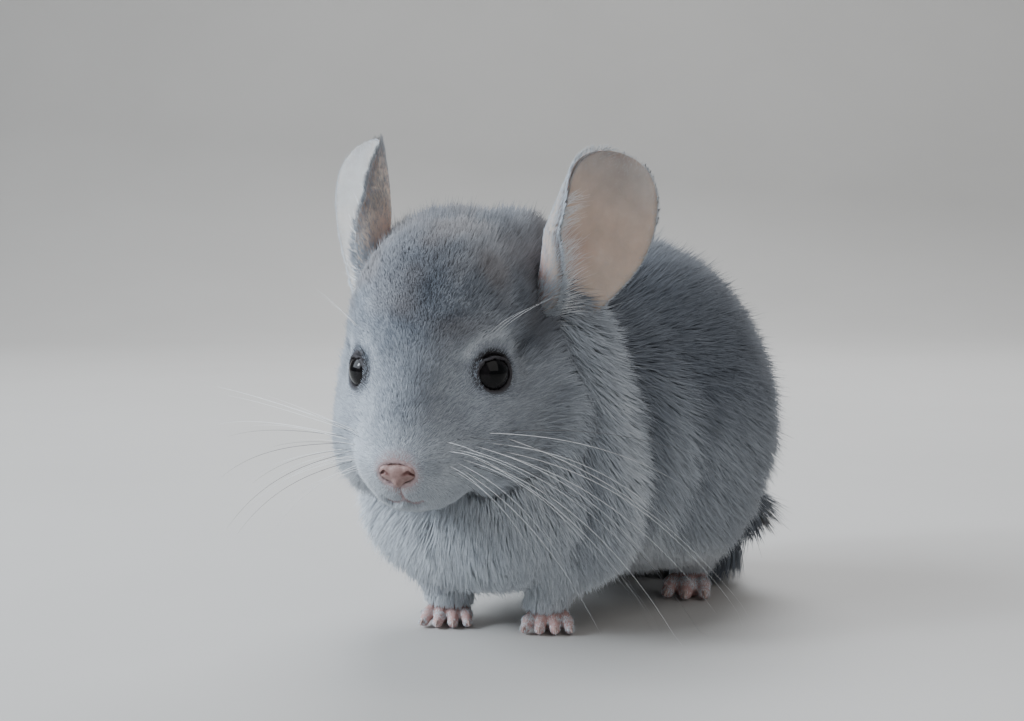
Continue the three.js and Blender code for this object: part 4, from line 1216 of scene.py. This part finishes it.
# ------------------------------------------------------------------ claws
def tube(path, radii, k=8):
    """closed tapered tube along a path, working frame"""
    path = np.asarray(path, float); n = len(path)
    t = unit(np.gradient(path, axis=0))
    ref = np.array([0, 0, 1.0]) if abs(t[0][2]) < 0.9 else np.array([1.0, 0, 0])
    a = unit(np.cross(t, ref)); b = np.cross(t, a)
    ph = np.arange(k) * 2 * math.pi / k
    ring = path[:, None] + (a[:, None] * np.cos(ph)[None, :, None] + b[:, None] * np.sin(ph)[None, :, None]) * np.asarray(radii)[:, None, None]
    V = np.concatenate([ring.reshape(-1, 3), path[:1], path[-1:]])
    i, j = np.meshgrid(np.arange(n - 1), np.arange(k), indexing="ij")
    A = i * k + j; B = i * k + (j + 1) % k
    q = np.stack([A, B, B + k, A + k], -1).reshape(-1, 4)
    T = np.concatenate([q[:, [0, 1, 2]], q[:, [0, 2, 3]]])
    j = np.arange(k); m = n * k
    T = np.concatenate([T, np.stack([np.full(k, m), (j + 1) % k, j], 1),
                        np.stack([np.full(k, m + 1), (n - 1) * k + j, (n - 1) * k + (j + 1) % k], 1)])
    n0, _ = tri_normals(V, T)
    if (n0 * (V[T].mean(1) - V[T].mean((0, 1)))).sum() < 0:
        T = T[:, ::-1]
    return V, T


def gather(parts_):
    V, T, A, o = [], [], [], 0
    for v, t, a in parts_:
        V.append(v); T.append(t + o); A.append(np.full(len(v), a)); o += len(v)
    return np.concatenate(V), np.concatenate(T), np.concatenate(A)


def paw_to_row(q, key):
    s = PAWS[key]; a = math.radians(s["yaw"]); c, n = math.cos(a), math.sin(a)
    q = np.asarray(q, float)
    return np.stack([q[..., 0] * c - q[..., 1] * n + s["at"][0], q[..., 0] * n + q[..., 1] * c + s["at"][1], q[..., 2]], -1)


cl = []
for key in PAWS:
    r = PAWS[key]["r"]
    for (dx, dy), pts in TOES[key]:
        tip = np.array(pts[2][:3]); d = np.array([dx, dy, 0.0])
        u = np.linspace(0, 1, 8)[:, None]
        path = tip + d * (r * 0.35 + u * r * 1.25) + np.array([0, 0, 1]) * (0.55 - 0.15 * u - 1.0 * u ** 2) * r * 0.55
        path[:, 2] = np.maximum(path[:, 2], 0.22)
        rad = r * np.array([0.24, 0.26, 0.26, 0.24, 0.20, 0.15, 0.10, 0.05])
        cl.append((*tube(paw_to_row(path, key), rad, 8), 0.0))
V, T, A = gather(cl)
cm = new_mesh("claws", V, T); cm.materials.append(claw_material())
claws = new_object("claws", cm)
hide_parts(*[f"claw_{k}{i + 1}" for k in PAWS for i in range(PAWS[k]["n"])])
PIECES.append(claws)

# ------------------------------------------------------------------ coat of the body
n_, a_ = tri_normals(SV, ST)
cent = SV[ST].mean(1)
dens, D, W, UP, CL, w, face = coat_plan(cent, n_)
inside = np.zeros(len(cent), bool)
for k, (Vp, Tp, f) in paws.items():
    near = (np.abs(cent[:, 0] - PAWS[k]["at"][0]) < 18) & (np.abs(cent[:, 1] - PAWS[k]["at"][1]) < 20) & (cent[:, 2] < 22)
    g = np.full(len(cent), 9.0); g[near] = f(*cent[near].astype(F).T); inside |= g < -0.2
dens = np.where(inside | (cent[:, 2] < 0.8), 0, dens)
ti, bc = sample(SV, ST, dens)
P = (SV[ST[ti]] * bc[..., None]).sum(1); N = unit((SN[ST[ti]] * bc[..., None]).sum(1))
dens, D, W, UP, CL, w, face = coat_plan(P, N)
keep = dens > 0
P, N, D, W, UP, CL, face = P[keep], N[keep], D[keep], W[keep], UP[keep], CL[keep], face[keep]; w = w[:, keep]
print("body tufts", len(P), flush=True)
tone, brown, _ = markings_and_shade(P, N)
lie = lie_of(P, w)
# long enough for the tips to reach the outline
L = 1.04 * D / (0.46 * UP + 0.42 * (UP - 0.10)) * (1.0 + 0.05 * smooth_noise(P, 6, 51))
qx, qy, qz = to_head(*P.T)
jowl = np.exp(-((qy - 1) / 12) ** 2 - ((qz + 26) / 9.0) ** 2) * (sstep(-7, -13, qx) + 0.35 * sstep(9, 15, qx)) * w[0]
L = np.clip(L * (1 + 1.0 * jowl), 1.1, 13.5)
UP = np.minimum(0.85, UP + 0.16 * jowl)
gV, gN, H = tuft_geometry(P, N, lie, L, W, UP, CL, 5)
gV[..., 2] = np.maximum(gV[..., 2], 0.02)
tone = np.clip(tone + (H - 0.5) * (0.035 + 0.05 * w[0] * (1 - face)), 0, 1)
rnd = RNG.random(len(P))
hx, hy, hz = to_head(*P.T)
region = np.argmax(np.stack([w[0], w[1], w[2], w[3]]), 0)
ALL = {"tone": tone, "rnd": rnd, "brown": brown}
hc = head_to_row([0, 8, 0])
for name, m, mat, slot, cen, scl, flip in (
        ("fur_head", region == 0, "head", "coat_head", hc, (30, 34, 32), 0.3),
        ("fur_body", region == 1, "body", "coat_body", np.array([0, 8, 42.0]), (36, 46, 42), 1.57),
        ("fur_leg", region == 2, "pale", "coat_pale", np.array([-4, -8, 16.0]), (20, 30, 14), 0.0),
        ("fur_tail", region == 3, "tail", "coat_tail", np.array([-6, 50, 16.0]), (26, 14, 16), 0.0)):
    if m.any():
        PIECES += emit(name, gV[m], gN[m], P[m], {k: v[m] for k, v in ALL.items()}, coat_mat[mat], slot, cen, np.array(scl), flip=flip)

# ------------------------------------------------------------------ coat of the feet
for key, (Vp, Tp, f) in paws.items():
    Np = vert_normals(Vp, Tp); c3 = Vp[Tp].mean(1); tn, _ = tri_normals(Vp, Tp)
    d = np.full(len(c3), 17.0)
    d *= sstep(0.5, 1.2, c3[:, 2]) * (tn[:, 2] > -0.6)
    d = np.where(skin_field(*c3.astype(F).T) < -0.3, 0, d)
    # bare between and at the ends of the toes
    qx, qy = paw_local(c3[:, 0], c3[:, 1], key)
    ax = np.full(len(c3), 9.0)
    for _, pts in TOES[key]:
        ax = np.minimum(ax, np.abs(chain(qx, qy, c3[:, 2], [p[:3] + (0.0,) for p in pts], 0.1)))
    toe_zone = sstep(-PAWS[key]["palm"][1] * 0.35, -PAWS[key]["palm"][1] * 0.35 - 2, qy)
    topside = sstep(-0.1, 0.35, tn[:, 2])
    tips = sstep(1.15, 0.75, ax / PAWS[key]["r"]) * sstep(-PAWS[key]["palm"][1] * 0.3 - PAWS[key]["L"] * 0.90, -PAWS[key]["palm"][1] * 0.3 - PAWS[key]["L"] * 1.05, qy)
    d = d * (1 - toe_zone * (1 - topside) * 0.80) * (1 - 0.8 * tips)
    ti, bc = sample(Vp, Tp, d)
    P = (Vp[Tp[ti]] * bc[..., None]).sum(1); N = unit((Np[Tp[ti]] * bc[..., None]).sum(1))
    fwd = paw_to_row(np.array([0, -1.0, 0]), key) - paw_to_row(np.zeros(3), key)
    lie = unit(fwd[None] * 0.8 + np.array([0, 0, -0.6]) + np.zeros_like(P))
    up = np.full(len(P), 0.24)
    high = sstep(5, 10, P[:, 2])
    gV, gN, H = tuft_geometry(P, N, lie, 1.5 + 1.5 * high, 0.17 + 0.10 * high, up, np.full(len(P), 0.06), 9, jit=0.12)
    gV[..., 2] = np.maximum(gV[..., 2], 0.02)
    s = PAWS[key]
    PIECES += emit("fur_foot_" + key, gV, gN, P, {"tone": np.full(len(P), 0.06) + 0.05 * H, "rnd": RNG.random(len(P)), "brown": 0 * P[:, 0]},
                   coat_mat["pale"], "paw", np.array([s["at"][0], s["at"][1], 4.0]), np.array([8, 9, 6.0]))

# ------------------------------------------------------------------ short fur of the ears, and long hairs at their front
for key, (Vp, Tp, (S, n, s, t, th)) in ears.items():
    side = EARS[key]["side"]
    nin = n * side                                   # towards the opening
    r, cgrid = S.shape[:2]
    cnt = 22000
    area_w = np.linalg.norm(np.cross(np.gradient(S, axis=0), np.gradient(S, axis=1)), axis=2)
    pr = area_w.ravel() * np.where(s[:, None] * np.ones_like(area_w) > 0.02, 1, 0).ravel()
    face_in = RNG.random(cnt) < 0.42
    cell = RNG.choice(r * cgrid, cnt, p=pr / pr.sum())
    fi = np.clip(cell // cgrid + RNG.random(cnt) - 0.5, 0, r - 1.001); fj = np.clip(cell % cgrid + RNG.random(cnt) - 0.5, 0, cgrid - 1.001)
    # some stand on the rim and break its outline
    rim = RNG.random(cnt) < 0.10
    fj = np.where(rim, np.where(RNG.random(cnt) < 0.5, 0.02, cgrid - 1.02), fj)
    i0, j0 = fi.astype(int), fj.astype(int); a, b = (fi - i0)[:, None], (fj - j0)[:, None]

    def lerp(G):
        return (G[i0, j0] * (1 - a) + G[i0 + 1, j0] * a) * (1 - b) + (G[i0, j0 + 1] * (1 - a) + G[i0 + 1, j0 + 1] * a) * b
    Pm = lerp(S); Nm = unit(lerp(nin)) * np.where(face_in, 1, -1)[:, None]
    thm = lerp(th[..., None])
    ss = np.interp(fi, np.arange(r), s); tt = np.interp(fj, np.arange(cgrid), t)
    P = Pm + Nm * thm / 2
    up_dir = unit(lerp(np.gradient(S, axis=0))); out_dir = unit(lerp(np.gradient(S, axis=1)))
    lie = unit(up_dir + out_dir * tt[:, None] * np.where(face_in, 0.5, 0.8)[:, None])
    near_rim = np.clip((np.maximum(np.abs(tt), ss) - 0.86) / 0.14, 0, 1)
    rootfur = sstep(0.28, 0.05, ss)
    frontstrip = sstep(-0.40, -0.80, tt) * np.where(face_in, 0.35, 1.0)
    L = np.where(face_in, 0.8, 1.25) + 0.45 * near_rim + np.where(face_in, 0.6, 2.4) * rootfur + 0.8 * frontstrip
    W = np.where(face_in, 0.085, 0.095) + 0.08 * rootfur
    keep = RNG.random(cnt) < np.where(face_in, 0.22 + 0.6 * near_rim + 0.5 * frontstrip, 0.45 + 0.45 * frontstrip + 0.5 * rootfur + 0.3 * near_rim)
    inside = skin_field(*P.astype(F).T) < -0.2
    keep &= ~inside
    upr = np.where(face_in, 0.20, 0.18) + 0.14 * near_rim
    # painted shade: the right ear's outer fur (0.44) is darker than the left's (0.28) for the shade it sits in
    tone = np.where(face_in, 0.26, (0.28 if key == "L" else 0.44) + 0.04 * frontstrip) + 0.06 * rootfur * ~face_in
    P, Nm, lie, L, W, upr, tone, ss, tt, fin = (v[keep] for v in (P, Nm, lie, L, W, upr, tone, ss, tt, face_in))
    gV, gN, H = tuft_geometry(P, Nm, lie, L, W, upr, np.full(len(P), 0.05), 13, sink=0.12, jit=0.14)
    uv = np.stack([(tt + 1) / 2 * 0.48 + np.where(fin, 0.01, 0.51), ss * 0.98 + 0.01], 1)
    ob = tuft_object("fur_ear_" + key, gV, gN, uv, {"tone": tone, "rnd": RNG.random(len(P)), "brown": 0.15 * (tone > 0.15)}, coat_mat["pale"], "ear")
    PIECES.append(ob)
print("ears done", flush=True)


def strand(p, d, length, r0, curve, drop=0.0, n=12):
    """bent hair from p along d; curve is the turn of its end"""
    d = np.asarray(d, float); d = d / np.linalg.norm(d); u = np.linspace(0, 1, n)[:, None]
    path = p + d * length * u + np.asarray(curve, float) * length * u ** 2 + np.array([0, 0, -1.0]) * drop * length * u ** 2.4
    rad = r0 * (1 - u[:, 0] ** 1.3 * 0.85)
    return tube(path, rad, 5)


# long pale hairs in front of each ear, sweeping back over its opening
eh = []
for key, (Vp, Tp, (S, n, s, t, th)) in ears.items():
    side = EARS[key]["side"]; nin = n * side
    for i in range(420):
        si = RNG.random() ** 1.2 * 0.62 + 0.03
        tj = -0.99 + RNG.random() * 0.22
        fi = np.interp(si, s, np.arange(len(s))); fj = np.interp(tj, t, np.arange(len(t)))
        i0, j0 = int(fi), int(fj)
        p = S[i0, j0] + nin[i0, j0] * 0.4
        g = unit(S[min(i0 + 1, len(s) - 1), j0] - S[i0, j0]); across = unit(S[i0, min(j0 + 3, len(t) - 1)] - S[i0, j0])
        span = unit(S[i0, -4] - S[i0, j0])
        d = g * 0.8 + span * (0.35 + 0.65 * RNG.random()) + RNG.normal(0, 0.12, 3)
        ln = (5.0 + 8.0 * RNG.random()) * (1 - 0.55 * si)
        eh.append((*strand(p, d, ln, 0.085, span * 0.25, n=7), RNG.random() * 0.25))
V, T, A = gather(eh)
hm = new_mesh("ear_hairs", V, T); attribute(hm, "rnd", A)
hm.materials.append(hair_material("hair_white", (0.80, 0.82, 0.84), (0.42, 0.43, 0.45)))
ob = new_object("ear_hairs", hm); PIECES.append(ob)


# ------------------------------------------------------------------ whiskers
def skin_hit(o, d):
    """first point of the skin from o (head frame) along d, from outside"""
    o = head_to_row(o); d = head_vec(d)
    ts = np.linspace(0, 26, 160)
    q = o[None] - d[None] * 0 + d[None] * ts[:, None]
    f = skin_field(*q.astype(F).T)
    k = np.nonzero(f > 0)[0]
    return q[k[0]] if len(k) else q[0]


wh = []
for side in (1, -1):
    rows = [(-15.0, 5), (-17.5, 6), (-20.0, 7), (-22.5, 6)]
    for ri, (zz, cnt) in enumerate(rows):
        for i in range(cnt):
            u = i / (cnt - 1)
            o = np.array([side * 2.0, -15 + 9.5 * u, zz + 1.4 * u + RNG.normal(0, 0.3)])
            d0 = np.array([side * 1.0, -0.55 + 0.5 * u, 0.02])
            p = skin_hit(o, d0 / np.linalg.norm(d0))
            if side == 1:
                ln = 16 + 46 * u ** 0.8 + RNG.normal(0, 3)
                dv = head_vec(np.array([1.0, -0.30 + 0.75 * u, -0.04 - 0.14 * ri + RNG.normal(0, 0.09)]))
                cv = head_vec(np.array([-0.05, 0.22 + RNG.normal(0, 0.05), 0.0])); drop = 0.20 + 0.10 * ri + 0.10 * u + RNG.normal(0, 0.04)
            else:
                ln = 14 + 34 * u + RNG.normal(0, 3)
                dv = head_vec(np.array([-1.0, -0.10 + 0.30 * u, 0.30 - 0.20 * ri + RNG.normal(0, 0.07)]))
                cv = head_vec(np.array([0.05, 0.20, 0.02])); drop = 0.10 + 0.06 * ri
            wh.append((*strand(p, dv, max(8, ln), 0.058 + 0.034 * u, cv, drop, 22), float(RNG.random() < 0.25) * 0.9))
# a few over the eyes
for side in (1, -1):
    for i in range(3):
        o = EYE_C[side] + np.array([side * (-3.0 + i * 0.8), 2.5 + i, 6.5]); d0 = np.array([side * 0.6, -0.6, 0.5])
        p = skin_hit(o - 4 * d0 / np.linalg.norm(d0), d0 / np.linalg.norm(d0))
        wh.append((*strand(p, head_vec(np.array([side * 0.75, -0.05 + 0.1 * i, 0.75])), 10 + 3 * i, 0.05, head_vec(np.array([side * 0.2, 0.3, 0])), 0.1, 14), 0.1))
V, T, A = gather(wh)
lim = np.array([[-71.5, -103.0, 0.1], [51, 75, 135]])
V = np.clip(V, lim[0], lim[1])
wm = new_mesh("whiskers", V, T); attribute(wm, "rnd", A)
wm.materials.append(hair_material("whisker", (0.78, 0.79, 0.80), (0.05, 0.05, 0.055)))
ob = new_object("whiskers", wm); PIECES.append(ob)

# ------------------------------------------------------------------ lashes
la = []
for side in (1, -1):
    c, e, r, u = eye_frame(side)
    for i in range(46):
        ph = math.radians(15 + 150 * i / 45 + RNG.normal(0, 2)); lim_ = LID + 0.13
        rad = r * math.cos(ph) + u * math.sin(ph)
        dd = e * math.cos(lim_) + rad * math.sin(lim_)
        p = c + dd * (EYE_R + 0.45)
        dv = rad * 0.9 + e * 0.7 + RNG.normal(0, 0.08, 3)
        la.append((*strand(head_to_row(p), head_vec(dv), 1.5 + 0.5 * RNG.random(), 0.045, head_vec(rad * 0.2 - e * 0.1), n=5), 1.0))
V, T, A = gather(la)
lm = new_mesh("lashes", V, T); attribute(lm, "rnd", A)
lm.materials.append(hair_material("lash", (0.10, 0.09, 0.09), (0.02, 0.02, 0.022)))
ob = new_object("lashes", lm); PIECES.append(ob)

for ob in PIECES:
    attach(ob, "root")


# ------------------------------------------------------------------ floor, backdrop, light, camera
def stage_material(name, a, b_, scale):
    m, nt, b = nt_new(name)
    tc = node(nt, "ShaderNodeTexCoord")
    n1 = node(nt, "ShaderNodeTexNoise", in_Scale=scale, in_Detail=5.0, in_Roughness=0.6)
    nt.links.new(tc.outputs["Object"], n1.inputs["Vector"])
    nt.links.new(ramp(nt, n1.outputs["Fac"], [(0.35, a), (0.65, b_)]), b.inputs["Base Color"])
    b.inputs["Roughness"].default_value = 0.6
    return m


def sheet_mesh(name, prof, x0, x1):
    """profile (y, z) in metres swept along x"""
    V = np.array([[x, y, z] for x in (x0, x1) for y, z in prof])
    n = len(prof)
    q = np.array([[i, i + 1, n + i + 1, n + i] for i in range(n - 1)])[:, ::-1]
    m = bpy.data.meshes.new(name); m.from_pydata([tuple(v) for v in V], [], [tuple(int(a) for a in f) for f in q]); m.update()
    for p in m.polygons:
        p.use_smooth = True
    return new_object(name, m)


floor = sheet_mesh("floor", [(-2.2, 0.0), (0.9, 0.0)], -2.6, 2.6)
bend = [(0.9 + 0.6 * math.sin(a), 0.6 - 0.6 * math.cos(a)) for a in np.linspace(0, math.pi / 2, 28)]
back = sheet_mesh("backdrop", bend + [(1.5, 2.6)], -2.6, 2.6)
for o in (floor, back):
    o.rotation_euler = (0, 0, math.radians(35))
    o.data.materials.append(stage_material(o.name, (0.445, 0.435, 0.42), (0.465, 0.455, 0.44), 6.0))

cam_d = bpy.data.cameras.new("camera"); cam = bpy.data.objects.new("camera", cam_d)
bpy.context.scene.collection.objects.link(cam)
cam_d.lens = 66.8; cam_d.sensor_width = 36.0; cam_d.clip_start = 0.02; cam_d.clip_end = 20
cam.location = tuple((np.array([282.0, -441.7, 115.0]) + SHIFT) / 1000)
cam.rotation_euler = (math.radians(90 - 5.14), 0, math.radians(35.0))
bpy.context.scene.camera = cam


def area(name, loc, aim, size, power, colour):
    d = bpy.data.lights.new(name, "AREA"); d.shape = "RECTANGLE"; d.size, d.size_y = size
    d.energy = power; d.color = colour
    o = bpy.data.objects.new(name, d); bpy.context.scene.collection.objects.link(o)
    o.location = loc
    v = np.array(aim, float) - np.array(loc, float)
    o.rotation_euler = (math.atan2(math.hypot(v[0], v[1]), -v[2]), 0, math.atan2(v[1], v[0]) - math.pi / 2)
    return o


# camera looks along (-0.574, 0.819); its left is (-0.819, -0.574)
area("window", (-0.62, -0.62, 0.62), (0, -0.01, 0.05), (0.9, 0.8), 17.5, (0.84, 0.92, 1.0))
area("pane", (-0.50, -0.72, 0.50), (0, -0.04, 0.07), (0.13, 0.17), 4.6, (0.84, 0.92, 1.0))
area("fill", (0.75, -0.30, 0.75), (0, 0, 0.05), (1.0, 1.0), 3.6, (1.0, 0.97, 0.94))
area("rim", (-0.35, 0.75, 0.70), (0, 0, 0.06), (0.8, 0.5), 8.0, (0.93, 0.96, 1.0))
area("wash", (-0.2, 0.55, 1.5), (-0.6, 1.3, 0.5), (1.2, 0.6), 11.0, (1.0, 0.98, 0.95))
wld = bpy.data.worlds.new("studio"); bpy.context.scene.world = wld; wld.use_nodes = True
bg = wld.node_tree.nodes["Background"]
bg.inputs[0].default_value = (0.80, 0.84, 0.90, 1); bg.inputs[1].default_value = 0.27
